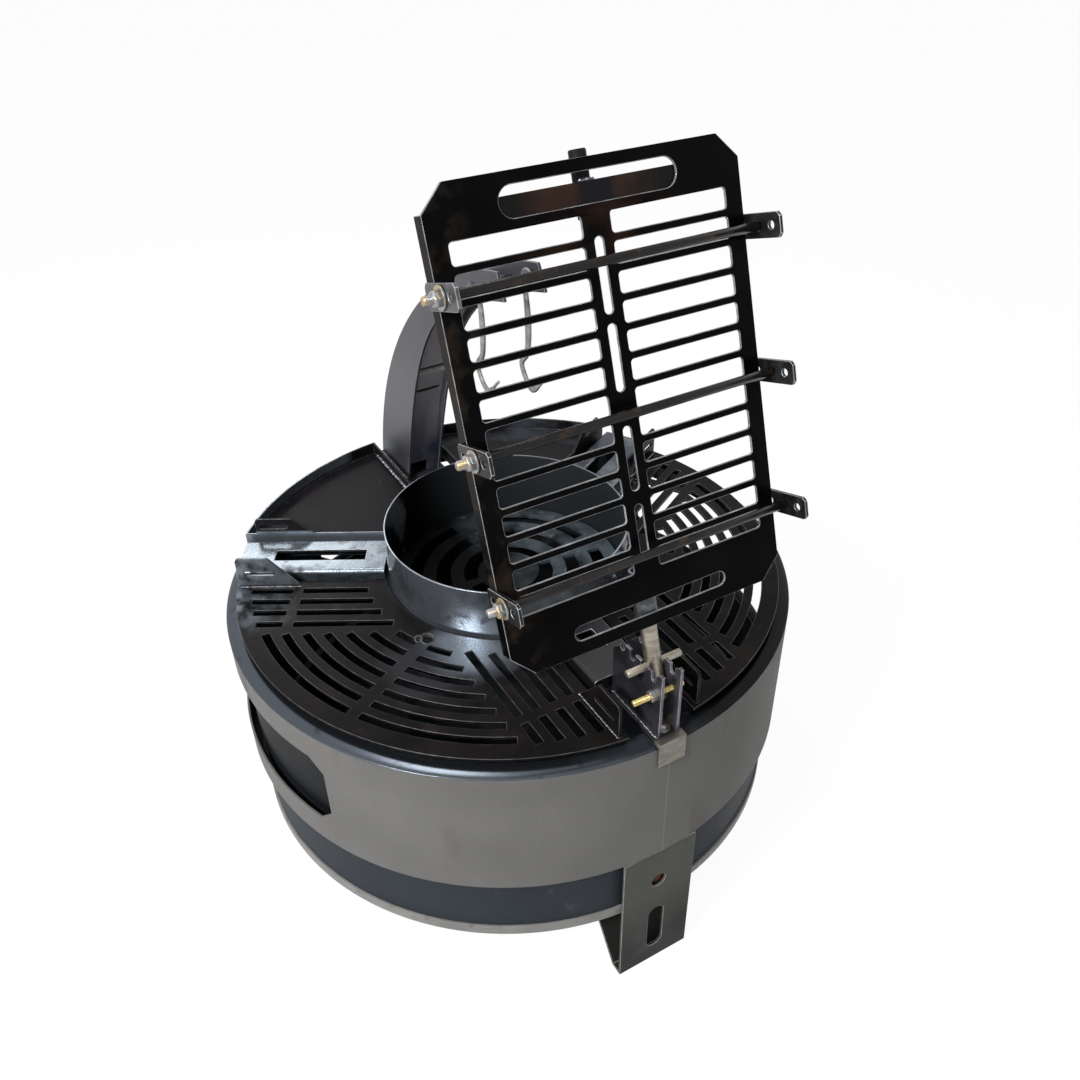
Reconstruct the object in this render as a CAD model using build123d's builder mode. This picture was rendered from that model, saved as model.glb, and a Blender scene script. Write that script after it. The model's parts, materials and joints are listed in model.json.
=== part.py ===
from build123d import *
import math
import os

# Drum: a round steel fire pit, its rim ring lying level on top of two walls
RIM_RADIUS = 400.0
RIM_TOP = 440.0
RIM_WIDTH = 28.0
RIM_THICKNESS = 4.0
RIM_BOTTOM = RIM_TOP - RIM_THICKNESS
RIM_ROUNDING = 3.0
SHEET = 3.0
SKIRT_HEIGHT = 201.0
SKIRT_BOTTOM = RIM_TOP - SKIRT_HEIGHT
DRUM_RADIUS = RIM_RADIUS - 12.0
DRUM_FLOOR_Z = 127.0
FLOOR_THICKNESS = 4.0
BAND_HEIGHT = 16.0
BAND_WIDTH = 9.0
BAND_OVERHANG = 3.0

# Each wall is rolled from three panels, butt-welded over the front leg and beside the back window
PANELS = {"right": (-90.0, 135.0), "back": (45.0, 90.0), "left": (135.0, 135.0)}

# Air windows at the two sides and at the back; the inner wall stays closed behind the left one
WINDOW_AZIMUTHS = {"right": 0.0, "back": 90.0, "left": 180.0}
CLOSED_BEHIND = "left"
WINDOW_HALF_ANGLE = 26.5
WINDOW_TOP = RIM_TOP - 45.0
WINDOW_BOTTOM = RIM_TOP - 158.0
WINDOW_CHAMFER = 20.0
WINDOW_MARGIN = 6.0

# Fire cylinder in the middle, with a ledge outside for the plates and one inside for the grate
FIRE_RADIUS = 172.0
FIRE_TOP = RIM_TOP + 87.0
LEDGE_WIDTH = 18.0
LEDGE_THICKNESS = 4.0
LEDGE_PLAY = 1.0
PLATE_BOTTOM = RIM_TOP + 10.0
GRATE_THICKNESS = 6.0
GRATE_BOTTOM = RIM_TOP - 12.0
GRATE_RADIUS = FIRE_RADIUS - 7.0
GRATE_SLOT_WIDTH = 20.0
GRATE_SLOT_RADII = tuple(GRATE_RADIUS - 30.0 - 2 * GRATE_SLOT_WIDTH * step for step in range(3))
GRATE_RIB_HALF_ANGLE = 8.0
GRATE_SECTORS = 4

# Three radial rails, one under the rack, with a leg below each
RAIL_AZIMUTHS = {"front": -90.0, "right": 30.0, "left": 150.0}
RAIL_HALF_WIDTH = 38.0
RAIL_TOP = RIM_TOP + 26.0
RAIL_SHEET = 4.0
RAIL_BEND = 6.0
RAIL_INNER = FIRE_RADIUS + 2.0
RAIL_OUTER = RIM_RADIUS - 16.0
RAIL_SLOT_WIDTH = 24.0
RAIL_SLOT_INNER = RAIL_INNER + 31.0
RAIL_SLOT_OUTER = RAIL_OUTER - 49.0

# Legs: one folded strap each, front plate, foot and sloping brace
LEG_FACE = RIM_RADIUS - 2.0
LEG_SHEET = 4.0
LEG_HALF_WIDTH = 56.0
LEG_FOOT = 19.0
LEG_BRACE_TOP = LEG_FACE - 107.0
LEG_HOLE_RADIUS = 11.0
LEG_HOLE_Z = 176.0
LEG_SLOT = (86.0, 25.0)
LEG_SLOT_Z = 73.0

# Segment plates between the rails
PLATE_THICKNESS = 4.0
PLATE_TOP = PLATE_BOTTOM + PLATE_THICKNESS
PLATE_INNER = FIRE_RADIUS + 6.0
PLATE_OUTER = RIM_RADIUS - 16.0
PLATE_LIP = PLATE_OUTER - 7.0
EDGE_OFFSET = 46.0
PLATE_HALF_ANGLE = 60.0
SLOT_WIDTH = 11.0
ROW_OFFSETS = (68.0, 92.0, 116.0, 140.0)
ROW_INNER_RADIUS = PLATE_INNER + 27.0
ROW_SPLIT = ((PLATE_INNER + PLATE_OUTER) / 2 + 3.0, (PLATE_INNER + PLATE_OUTER) / 2 + 17.0)
ROW_OUTER_RADIUS = PLATE_OUTER - 22.0
ARC_RADII = tuple(PLATE_OUTER - 29.0 - 23.5 * step for step in range(7))
ARC_OFFSET = 160.0
RIB_HALF_WIDTH = 9.0
KEYHOLE_RADIUS = 7.0
KEYHOLE_AT = PLATE_INNER + 24.0
TAB_OFFSET = 56.0
TAB_SHEET = 4.0
TAB_CORNER = 6.0
TAB_FOOT = (PLATE_OUTER - 96.0, PLATE_OUTER - 9.0)
TAB_HEAD = PLATE_OUTER - 54.0
TAB_TOP = PLATE_TOP + 48.0
TAB_SLOT = (42.0, 7.0)
TAB_SLOT_AT = (PLATE_OUTER - 40.0, PLATE_TOP + 22.5)

# Trays at the back, either side of the arm
TRAY_HALF_ANGLE = 30.0
TRAY_OUTER = RIM_RADIUS - 8.0
TRAY_TOP = RIM_TOP + 32.0
TRAY_TAB_FOOT = (TRAY_OUTER - 106.0, TRAY_OUTER - 20.0)
TRAY_TAB_HEAD = TRAY_OUTER - 74.0
TRAY_TAB_TOP = TRAY_TOP + 26.0
TRAY_SLOT_AT = (TRAY_OUTER - 46.0, TRAY_TOP + 12.0)

# Notched bracket that carries the rack on a cross pin
PIN_Y = 43.0 - RIM_RADIUS
PIN_Z = RIM_TOP + 90.0
PIN_RADIUS = 5.0
PIN_HALF_LENGTH = 38.0
NOTCH_PITCH = 21.0
NOTCH_COUNT = 4
RUNNING_FIT = 0.05
BRACKET_SHEET = 4.0
BRACKET_HALF_WIDTH = 15.0
BRACKET_BASE_HALF_WIDTH = 20.0
BRACKET_BASE_TOP = RIM_TOP + 6.0
BRACKET_TOP = PIN_Z + 7.0
BRACKET_INNER = PIN_Y + 61.0
BRACKET_OUTER = PIN_Y - 37.0
FRONT_RAIL_OUTER = -BRACKET_INNER - 4.0
FRONT_SLOT_OUTER = FRONT_RAIL_OUTER - 50.0
BASE_INNER = PIN_Y + 95.0
LIP_INNER = RIM_RADIUS + 1.0
LIP_OUTER = LIP_INNER + SHEET
LIP_HALF_WIDTH = 19.5
LIP_BOTTOM = RIM_TOP - 32.0
BOLT_RADIUS = 5.0
BOLT_CLEARANCE = 0.2
BOLT_HEAD_RADIUS = 9.0
BOLT_HEAD = 6.0
BOLT_Y = RIM_RADIUS - 21.5
STUD_RADIUS = 4.0
STUD_GAP = 0.4
STUD_BELOW_PIN = 30.0
STUD_RANGE = (-44.0, 26.0)
STUD_NUT_RADIUS = 7.5
STUD_NUT = 6.5

# Rack and its shaft, leaning over the fire
LEAN = 18.0
SHAFT_RADIUS = 10.0
SHAFT_BELOW = 45.0
SHAFT_ABOVE = 108.0
RACK_WIDTH = 360.0
RACK_LOW = 55.0
RACK_HIGH = 553.0
RACK_BACK = 14.0
RACK_CHAMFER = 25.0
FLANGE_DEPTH = 15.0
HANDLE_LENGTH = 202.0
HANDLE_LOW_WIDTH = 17.0
HANDLE_LOW_AT = 79.0
HANDLE_HIGH_WIDTH = 30.0
HANDLE_HIGH_AT = 525.0
GRID_LOW = 118.0
GRID_HIGH = 504.0
GRID_ROWS = 13
BAR_WIDTH = 8.0
SIDE_STRIP = 21.3
SPINE_HALF_WIDTH = 17.0
SPINE_SLOT_WIDTH = 10.0
SPINE_SLOTS = ((138.0, 198.0), (214.0, 285.0), (322.0, 392.0), (402.0, 478.0))
OPENING_CORNER = 4.0
STUB_RADIUS = 9.0
STUB_RANGE = (495.0, 561.0)
CROSSBAR_RANGE = (505.0, 531.0)
CROSSBAR_HALF_LENGTH = 110.0
CROSSBAR_BACK = 8.0
SLEEVE_RADIUS = 13.5
SLEEVE_RANGE = (62.0, 118.0)
SLEEVE_PAD_LOW = 100.0
SET_SCREW_AT = 86.0
SET_SCREW_OUTER_X = -36.0

# Clamp bars across the rack's face, squeezed on to its sides by flange nuts
CLAMP_HEIGHTS = {"bottom": 148.0, "middle": 302.0, "top": 456.0}
CLAMP_GAP = 0.4
CLAMP_PLATE_X = RACK_WIDTH / 2 + CLAMP_GAP
CLAMP_SHEET = 4.0
CLAMP_HALF_HEIGHT = 13.0
CLAMP_PLATE_RANGE = (2.0, 72.0)
CLAMP_HOLES = (13.0, 58.0)
CLAMP_HOLE_RADIUS = 4.5
ROD_N = 38.0
ROD_RADIUS = 5.0
ROD_LEFT_X = -CLAMP_PLATE_X - 22.6
NUT_X = -CLAMP_PLATE_X - CLAMP_SHEET - CLAMP_GAP
NUT_FLANGE_RADIUS = 12.0
NUT_FLANGE = 2.0
NUT_RADIUS = 8.5
NUT_LENGTH = 9.0

# Gallows arm at the back and its two hooks
ARM_HALF_WIDTH = 29.0
ARM_SHEET = 4.0
ARM_BASE_THICKNESS = 4.0
ARM_BASE_HALF_WIDTH = 40.0
ARM_BASE_INNER = FIRE_RADIUS + 22.0
ARM_FOOT = RIM_RADIUS - 1.0
ARM_OUTER_CURVE = (
    (0.0, 4.0), (37.0, 119.0), (125.0, 257.0), (239.0, 364.0), (384.0, 446.0), (457.0, 467.0)
)
ARM_INNER_CURVE = (
    (474.0, 436.0), (409.0, 416.0), (339.0, 386.0), (276.0, 343.0), (165.0, 175.0), (107.0, 4.0)
)
ARM_WEB_CURVE = (
    (91.0, -2.0), (104.0, 38.0), (152.0, 181.0), (201.0, 267.0), (267.0, 353.0), (327.0, 396.0)
)
ARM_BACK_CURVE = ((1.6, -2.0), (40.0, 118.0), (127.5, 254.0), (241.0, 360.5), (340.0, 421.0))
WEB_FOOT_HEIGHT = 24.0
WEB_FOOT_RIGHT = 10.0
WEB_SLOTS = ((152.0, 181.0, 26.0), (177.0, 228.0, 30.0))
WEB_SLOT = (42.0, 7.0)
ARM_BOLT_X = 13.0
HANGER_RADIUS = 5.0
HANGER_HALF_LENGTH = 33.0
HANGERS = {"left": (-16.0, ARM_FOOT - 389.0, 428.0), "right": (16.0, ARM_FOOT - 449.0, 447.0)}
HOOK_SHEET = 4.0
HOOK_WIDTH = 8.0
HOOK_CURVE = ((1.5, -46.0), (4.0, -92.0), (20.0, -117.0), (-4.5, -141.0), (-37.0, -115.5))

SIN_LEAN = math.sin(math.radians(LEAN))
COS_LEAN = math.cos(math.radians(LEAN))
RACK_PLANE = Plane(origin=(0, PIN_Y, PIN_Z), x_dir=(1, 0, 0), z_dir=(0, -COS_LEAN, SIN_LEAN))


def level(azimuth, z):
    """Horizontal plane at height z whose x axis points along the azimuth."""
    angle = math.radians(azimuth)
    return Plane(origin=(0, 0, z), x_dir=(math.cos(angle), math.sin(angle), 0), z_dir=(0, 0, 1))


def facing(azimuth, radius):
    """Upright plane across the azimuth at a radius: x runs around the drum, y runs up."""
    angle = math.radians(azimuth)
    radial = Vector(math.cos(angle), math.sin(angle), 0)
    return Plane(origin=radial * radius, x_dir=(-math.sin(angle), math.cos(angle), 0), z_dir=radial)


def along(azimuth, offset=0.0):
    """Upright plane along the azimuth, shifted sideways: x runs outwards, y runs up."""
    angle = math.radians(azimuth)
    side = Vector(math.sin(angle), -math.cos(angle), 0)
    return Plane(origin=side * offset, x_dir=(math.cos(angle), math.sin(angle), 0), z_dir=side)


def shaft_plane(height):
    """Plane across the leaning shaft at a distance above the cross pin."""
    origin = (0, PIN_Y + SIN_LEAN * height, PIN_Z + COS_LEAN * height)
    return Plane(origin=origin, x_dir=(1, 0, 0), z_dir=(0, SIN_LEAN, COS_LEAN))


def across(x):
    """Plane square to X in the rack's own frame: x runs up the shaft, y out of the rack's face."""
    return Plane(origin=(x, PIN_Y, PIN_Z), x_dir=(0, SIN_LEAN, COS_LEAN), z_dir=(1, 0, 0))


def upright(x, y=0.0, z=0.0):
    """Plane square to X: its x runs along Y, its y runs up."""
    return Plane(origin=(x, y, z), x_dir=(0, 1, 0), z_dir=(1, 0, 0))


def arm_points(curve):
    """Points of an arm curve, from reaches inward of the arm's foot and heights above the rim."""
    return [(ARM_FOOT - reach, height) for reach, height in curve]


def save(part, node):
    """Label a finished piece and write it under its node name."""
    part.label = node
    export_step(part, f"parts/{node}.step")


def ring(outer, inner, bottom, top):
    """Plain round wall or washer about the drum's axis."""
    with BuildPart() as body:
        with BuildSketch(Plane.XY.offset(bottom)):
            Circle(outer)
            Circle(inner, mode=Mode.SUBTRACT)
        extrude(amount=top - bottom)
    return body


def rolled_panel(radius, bottom, start, sweep_angle):
    """Part of a round wall between two upright seams, up to the rim."""
    with BuildPart() as panel:
        with BuildSketch(Plane.XY.offset(bottom)):
            with BuildLine():
                outer = CenterArc((0, 0), radius, start, sweep_angle)
                inner = CenterArc((0, 0), radius - SHEET, start, sweep_angle)
                Line(outer @ 0, inner @ 0)
                Line(outer @ 1, inner @ 1)
            make_face()
        extrude(amount=RIM_BOTTOM - bottom)
    return panel


def air_window(azimuth, margin):
    """Chamfered window as a block reaching out through the walls, larger all round by the margin."""
    width = 2 * RIM_RADIUS * math.sin(math.radians(WINDOW_HALF_ANGLE)) + 2 * margin
    height = WINDOW_TOP - WINDOW_BOTTOM + 2 * margin
    with BuildPart() as block:
        with BuildSketch(facing(azimuth, 0)) as outline:
            with Locations((0, (WINDOW_TOP + WINDOW_BOTTOM) / 2)):
                Rectangle(width, height)
            chamfer(outline.vertices(), length=WINDOW_CHAMFER)
        extrude(amount=RIM_RADIUS + BAND_OVERHANG)
    return block


def sector(half_angle, inner, outer, edge):
    """Ring segment about the sketch's x axis, its straight sides parallel to the rails beside it."""
    reach = 2 * RIM_RADIUS
    Circle(outer)
    Circle(inner, mode=Mode.SUBTRACT)
    for side in (-1, 1):
        turn = side * (half_angle - 90)
        normal = math.radians(turn)
        shift = edge - reach / 2
        with Locations((shift * math.cos(normal), shift * math.sin(normal))):
            Rectangle(reach, 2 * reach, rotation=turn, mode=Mode.SUBTRACT)


def row_slots(side):
    """Straight slots beside one rail, in two columns, each row parallel to the rail."""
    rail = math.radians(side * PLATE_HALF_ANGLE)
    run = Vector(math.cos(rail), math.sin(rail))
    inward = Vector(math.sin(rail), -math.cos(rail)) * side
    for offset in ROW_OFFSETS:
        nearest = math.sqrt(ROW_INNER_RADIUS**2 - offset**2)
        farthest = math.sqrt(ROW_OUTER_RADIUS**2 - offset**2)
        for start, end in ((nearest, ROW_SPLIT[0]), (ROW_SPLIT[1], farthest)):
            centre = run * ((start + end) / 2) + inward * offset
            with Locations((centre.X, centre.Y)):
                Rectangle(end - start, SLOT_WIDTH, rotation=side * PLATE_HALF_ANGLE, mode=Mode.SUBTRACT)


def handle_tab(plane, foot, head, low, high, slot_at):
    """Outline of a lifting tab: square outer side, sloping inner side and a finger slot."""
    with BuildSketch(plane) as tab:
        with BuildLine():
            Polyline((foot[0], low), (foot[1], low), (foot[1], high), (head, high), close=True)
        make_face()
        fillet(tab.vertices().group_by(Axis.Y)[-1], radius=TAB_CORNER)
        with Locations(slot_at):
            SlotOverall(*TAB_SLOT, mode=Mode.SUBTRACT)
    return tab.sketch


os.makedirs("parts", exist_ok=True)

# Skirt: painted outer wall, one air window in each panel
for name, (start, sweep_angle) in PANELS.items():
    with BuildPart() as skirt:
        add(rolled_panel(RIM_RADIUS, SKIRT_BOTTOM, start, sweep_angle).part)
        add(air_window(WINDOW_AZIMUTHS[name], 0).part, mode=Mode.SUBTRACT)
    save(skirt.part, f"skirt_{name}")

# Inner drum: reaches lower than the skirt, its windows a little larger
for name, (start, sweep_angle) in PANELS.items():
    with BuildPart() as drum:
        add(rolled_panel(DRUM_RADIUS, DRUM_FLOOR_Z + BAND_HEIGHT, start, sweep_angle).part)
        if name != CLOSED_BEHIND:
            add(air_window(WINDOW_AZIMUTHS[name], WINDOW_MARGIN).part, mode=Mode.SUBTRACT)
    save(drum.part, f"drum_{name}")

# Rim ring: flat ring on top of both walls, its outer edge rounded, drilled for the bracket and arm bolts
with BuildPart() as rim_ring:
    with BuildSketch(Plane.XY.offset(RIM_BOTTOM)):
        Circle(RIM_RADIUS)
        Circle(RIM_RADIUS - RIM_WIDTH, mode=Mode.SUBTRACT)
        with Locations((0, -BOLT_Y), (-ARM_BOLT_X, BOLT_Y), (ARM_BOLT_X, BOLT_Y)):
            Circle(BOLT_RADIUS + BOLT_CLEARANCE, mode=Mode.SUBTRACT)
    extrude(amount=RIM_THICKNESS)
    top_edges = rim_ring.edges().filter_by(GeomType.CIRCLE).group_by(Axis.Z)[-1]
    fillet(top_edges.sort_by(SortBy.RADIUS)[-1], radius=RIM_ROUNDING)
save(rim_ring.part, "rim_ring")

# Bottom band and floor plate close the drum below
band_outer = DRUM_RADIUS + BAND_OVERHANG
band_inner = band_outer - BAND_WIDTH
bottom_band = ring(band_outer, band_inner, DRUM_FLOOR_Z, DRUM_FLOOR_Z + BAND_HEIGHT)
save(bottom_band.part, "bottom_band")

with BuildPart() as drum_floor:
    with BuildSketch(Plane.XY.offset(DRUM_FLOOR_Z)):
        Circle(band_inner)
    extrude(amount=FLOOR_THICKNESS)
save(drum_floor.part, "drum_floor")

# Fire cylinder on the floor plate, open at the top
fire_cylinder = ring(FIRE_RADIUS, FIRE_RADIUS - SHEET, DRUM_FLOOR_Z + FLOOR_THICKNESS, FIRE_TOP)
save(fire_cylinder.part, "fire_cylinder")

plate_ledge = ring(FIRE_RADIUS + LEDGE_WIDTH, FIRE_RADIUS, PLATE_BOTTOM - LEDGE_THICKNESS, PLATE_BOTTOM)
save(plate_ledge.part, "plate_ledge")

fire_bore = FIRE_RADIUS - SHEET
grate_ledge = ring(fire_bore, fire_bore - LEDGE_WIDTH, GRATE_BOTTOM - LEDGE_THICKNESS, GRATE_BOTTOM)
save(grate_ledge.part, "grate_ledge")

# Fire grate: loose disc with curved slots in four sectors
with BuildPart() as fire_grate:
    with BuildSketch(Plane.XY.offset(GRATE_BOTTOM)):
        Circle(GRATE_RADIUS)
        for radius in GRATE_SLOT_RADII:
            for sector_index in range(GRATE_SECTORS):
                start = 360 / GRATE_SECTORS * sector_index + GRATE_RIB_HALF_ANGLE
                sweep_angle = 360 / GRATE_SECTORS - 2 * GRATE_RIB_HALF_ANGLE
                with BuildLine():
                    outer = CenterArc((0, 0), radius + GRATE_SLOT_WIDTH / 2, start, sweep_angle)
                    inner = CenterArc((0, 0), radius - GRATE_SLOT_WIDTH / 2, start, sweep_angle)
                    Line(outer @ 0, inner @ 0)
                    Line(outer @ 1, inner @ 1)
                make_face(mode=Mode.SUBTRACT)
    extrude(amount=GRATE_THICKNESS)
save(fire_grate.part, "fire_grate")

# Rails: folded channels with a closed outer end, open below and slotted along the top
for name, azimuth in RAIL_AZIMUTHS.items():
    end = FRONT_RAIL_OUTER if name == "front" else RAIL_OUTER
    slot_end = FRONT_SLOT_OUTER if name == "front" else RAIL_SLOT_OUTER
    with BuildPart() as rail:
        with BuildSketch(facing(azimuth, RAIL_INNER)) as section:
            with Locations((0, (RIM_TOP + RAIL_TOP) / 2)):
                Rectangle(2 * RAIL_HALF_WIDTH, RAIL_TOP - RIM_TOP)
            fillet(section.vertices().group_by(Axis.Y)[-1], radius=RAIL_BEND)
        extrude(amount=end - RAIL_INNER)
        with BuildSketch(facing(azimuth, RAIL_INNER)):
            with Locations((0, (RIM_TOP + RAIL_TOP) / 2 - RAIL_SHEET)):
                Rectangle(2 * (RAIL_HALF_WIDTH - RAIL_SHEET), RAIL_TOP - RIM_TOP)
        extrude(amount=end - RAIL_INNER - RAIL_SHEET, mode=Mode.SUBTRACT)
        with BuildSketch(level(azimuth, RAIL_TOP)):
            with Locations(((RAIL_SLOT_INNER + slot_end) / 2, 0)):
                Rectangle(slot_end - RAIL_SLOT_INNER, RAIL_SLOT_WIDTH)
        extrude(amount=-2 * RAIL_SHEET, mode=Mode.SUBTRACT)
        with BuildSketch(level(azimuth, RIM_TOP)):
            Circle(FIRE_RADIUS + LEDGE_WIDTH + LEDGE_PLAY)
        extrude(amount=PLATE_BOTTOM - RIM_TOP, mode=Mode.SUBTRACT)
        if name == "front":
            with BuildSketch(facing(azimuth, -BASE_INNER)):
                with Locations((0, (RIM_TOP + BRACKET_BASE_TOP) / 2)):
                    Rectangle(2 * (BRACKET_BASE_HALF_WIDTH + LEDGE_PLAY), BRACKET_BASE_TOP - RIM_TOP)
            extrude(amount=end, mode=Mode.SUBTRACT)
    save(rail.part, f"rail_{name}")

# Legs: front plate, foot and brace folded from one strap, with a bolt hole and a long slot
for name, azimuth in RAIL_AZIMUTHS.items():
    inner_face = LEG_FACE - LEG_SHEET
    foot_inner = LEG_FACE - LEG_FOOT
    with BuildPart() as leg:
        with BuildSketch(along(azimuth)):
            with BuildLine():
                Polyline(
                    (LEG_FACE, 0),
                    (LEG_FACE, SKIRT_BOTTOM),
                    (inner_face, SKIRT_BOTTOM),
                    (inner_face, LEG_SHEET),
                    (foot_inner + LEG_SHEET / 2, LEG_SHEET),
                    (LEG_BRACE_TOP + LEG_SHEET, DRUM_FLOOR_Z),
                    (LEG_BRACE_TOP, DRUM_FLOOR_Z),
                    (foot_inner, 0),
                    close=True,
                )
            make_face()
        extrude(amount=LEG_HALF_WIDTH, both=True)
        with BuildSketch(facing(azimuth, LEG_FACE)):
            with Locations((0, LEG_HOLE_Z)):
                Circle(LEG_HOLE_RADIUS)
            with Locations((0, LEG_SLOT_Z)):
                SlotOverall(*LEG_SLOT, rotation=90)
        extrude(amount=-2 * LEG_SHEET, mode=Mode.SUBTRACT)
    save(leg.part, f"leg_{name}")

# Leg bolts: hexagon heads against the drum, seen through the holes in the legs
with BuildPart() as leg_bolts:
    for azimuth in RAIL_AZIMUTHS.values():
        with BuildSketch(facing(azimuth, DRUM_RADIUS)):
            with Locations((0, LEG_HOLE_Z)):
                RegularPolygon(BOLT_HEAD_RADIUS, 6)
        extrude(amount=BOLT_HEAD)
save(leg_bolts.part, "leg_bolts")

# Grill plates: ring segments with concentric and straight slots, lip down to the rim, two lifting tabs
for name, azimuth in (("left", 210.0), ("right", 330.0)):
    with BuildPart() as plate:
        with BuildSketch(level(azimuth, PLATE_BOTTOM)):
            sector(PLATE_HALF_ANGLE, PLATE_INNER, PLATE_OUTER, EDGE_OFFSET)
            for radius in ARC_RADII:
                rib = math.degrees(math.asin(RIB_HALF_WIDTH / radius))
                end = PLATE_HALF_ANGLE - math.degrees(math.asin(ARC_OFFSET / radius))
                for start in (rib, -end):
                    with BuildLine():
                        outer = CenterArc((0, 0), radius + SLOT_WIDTH / 2, start, end - rib)
                        inner = CenterArc((0, 0), radius - SLOT_WIDTH / 2, start, end - rib)
                        Line(outer @ 0, inner @ 0)
                        Line(outer @ 1, inner @ 1)
                    make_face(mode=Mode.SUBTRACT)
            for side in (-1, 1):
                row_slots(side)
            with Locations((KEYHOLE_AT, 0)):
                Circle(KEYHOLE_RADIUS, mode=Mode.SUBTRACT)
        extrude(amount=PLATE_THICKNESS)
        with BuildSketch(level(azimuth, RIM_TOP)):
            sector(PLATE_HALF_ANGLE, PLATE_LIP - PLATE_THICKNESS, PLATE_LIP, EDGE_OFFSET)
        extrude(amount=PLATE_BOTTOM - RIM_TOP)
        for side in (-1, 1):
            tab_plane = along(azimuth + side * PLATE_HALF_ANGLE, side * TAB_OFFSET)
            tab = handle_tab(tab_plane, TAB_FOOT, TAB_HEAD, PLATE_TOP, TAB_TOP, TAB_SLOT_AT)
            extrude(tab, amount=TAB_SHEET / 2, both=True)
    save(plate.part, f"grill_plate_{name}")

# Trays: flat floors with upturned sides and a lifting tab beside the rail
for name, azimuth, rail_side in (("left", 120.0, 1), ("right", 60.0, -1)):
    with BuildPart() as tray:
        with BuildSketch(level(azimuth, PLATE_BOTTOM)):
            sector(TRAY_HALF_ANGLE, PLATE_INNER, TRAY_OUTER, EDGE_OFFSET)
        extrude(amount=TRAY_TOP - PLATE_BOTTOM)
        with BuildSketch(level(azimuth, PLATE_BOTTOM + SHEET)):
            sector(TRAY_HALF_ANGLE, FIRE_RADIUS, TRAY_OUTER - SHEET, EDGE_OFFSET + SHEET)
        extrude(amount=TRAY_TOP - PLATE_BOTTOM, mode=Mode.SUBTRACT)
        with BuildSketch(level(azimuth, RIM_TOP)):
            sector(TRAY_HALF_ANGLE, TRAY_OUTER - SHEET, TRAY_OUTER, EDGE_OFFSET)
        extrude(amount=PLATE_BOTTOM - RIM_TOP)
        wall_middle = EDGE_OFFSET + SHEET / 2
        tab_plane = along(azimuth + rail_side * TRAY_HALF_ANGLE, rail_side * wall_middle)
        tab = handle_tab(tab_plane, TRAY_TAB_FOOT, TRAY_TAB_HEAD, TRAY_TOP, TRAY_TAB_TOP, TRAY_SLOT_AT)
        extrude(tab, amount=SHEET / 2, both=True)
    save(tray.part, f"tray_{name}")

# Bracket base: flat bar from under the front rail to a lip folded over the rim
with BuildPart() as bracket_base:
    with BuildSketch(Plane.XY.offset(RIM_TOP)):
        with Locations((0, (BASE_INNER - LIP_INNER) / 2)):
            Rectangle(2 * BRACKET_BASE_HALF_WIDTH, LIP_INNER + BASE_INNER)
        with Locations((0, -BOLT_Y)):
            Circle(BOLT_RADIUS + BOLT_CLEARANCE, mode=Mode.SUBTRACT)
    extrude(amount=BRACKET_BASE_TOP - RIM_TOP)
    with BuildSketch(Plane.XZ.offset(LIP_INNER)):
        with Locations((0, (LIP_BOTTOM + BRACKET_BASE_TOP) / 2)):
            Rectangle(2 * LIP_HALF_WIDTH, BRACKET_BASE_TOP - LIP_BOTTOM)
    extrude(amount=LIP_OUTER - LIP_INNER)
save(bracket_base.part, "bracket_base")

# Bracket cheeks: upright plates with a row of notches for the cross pin
stud_y = PIN_Y - SIN_LEAN * STUD_BELOW_PIN - COS_LEAN * (SHAFT_RADIUS + STUD_RADIUS + STUD_GAP)
stud_z = PIN_Z - COS_LEAN * STUD_BELOW_PIN + SIN_LEAN * (SHAFT_RADIUS + STUD_RADIUS + STUD_GAP)
notch_radius = PIN_RADIUS + RUNNING_FIT
for name, x in (("left", -BRACKET_HALF_WIDTH), ("right", BRACKET_HALF_WIDTH - BRACKET_SHEET)):
    with BuildPart() as cheek:
        with BuildSketch(upright(x)):
            with BuildLine():
                Polyline(
                    (BRACKET_OUTER, BRACKET_BASE_TOP),
                    (BRACKET_OUTER, BRACKET_TOP + PIN_RADIUS),
                    (BRACKET_OUTER + PIN_RADIUS, BRACKET_TOP + PIN_RADIUS),
                    (BRACKET_OUTER + 2 * PIN_RADIUS, BRACKET_TOP),
                    (BRACKET_INNER - NOTCH_PITCH, BRACKET_TOP),
                    (BRACKET_INNER, BRACKET_TOP - NOTCH_PITCH),
                    (BRACKET_INNER, BRACKET_BASE_TOP),
                    close=True,
                )
            make_face()
            for step in range(NOTCH_COUNT):
                notch_y = PIN_Y + (step - 1) * NOTCH_PITCH
                with Locations((notch_y, PIN_Z)):
                    Circle(notch_radius, mode=Mode.SUBTRACT)
                with Locations((notch_y, PIN_Z + NOTCH_PITCH / 2)):
                    Rectangle(2 * notch_radius, NOTCH_PITCH, mode=Mode.SUBTRACT)
            with Locations((stud_y, stud_z)):
                Circle(STUD_RADIUS + BOLT_CLEARANCE, mode=Mode.SUBTRACT)
        extrude(amount=BRACKET_SHEET)
    save(cheek.part, f"bracket_cheek_{name}")

# Bolt through the bracket base and the rim
with BuildPart() as bracket_bolt:
    with BuildSketch(Plane.XY.offset(BRACKET_BASE_TOP)):
        with Locations((0, -BOLT_Y)):
            RegularPolygon(BOLT_HEAD_RADIUS, 6)
    extrude(amount=BOLT_HEAD)
    with BuildSketch(Plane.XY.offset(RIM_BOTTOM - BOLT_HEAD)):
        with Locations((0, -BOLT_Y)):
            Circle(BOLT_RADIUS)
    extrude(amount=BRACKET_BASE_TOP - RIM_BOTTOM + BOLT_HEAD)
save(bracket_bolt.part, "bracket_bolt")

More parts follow.
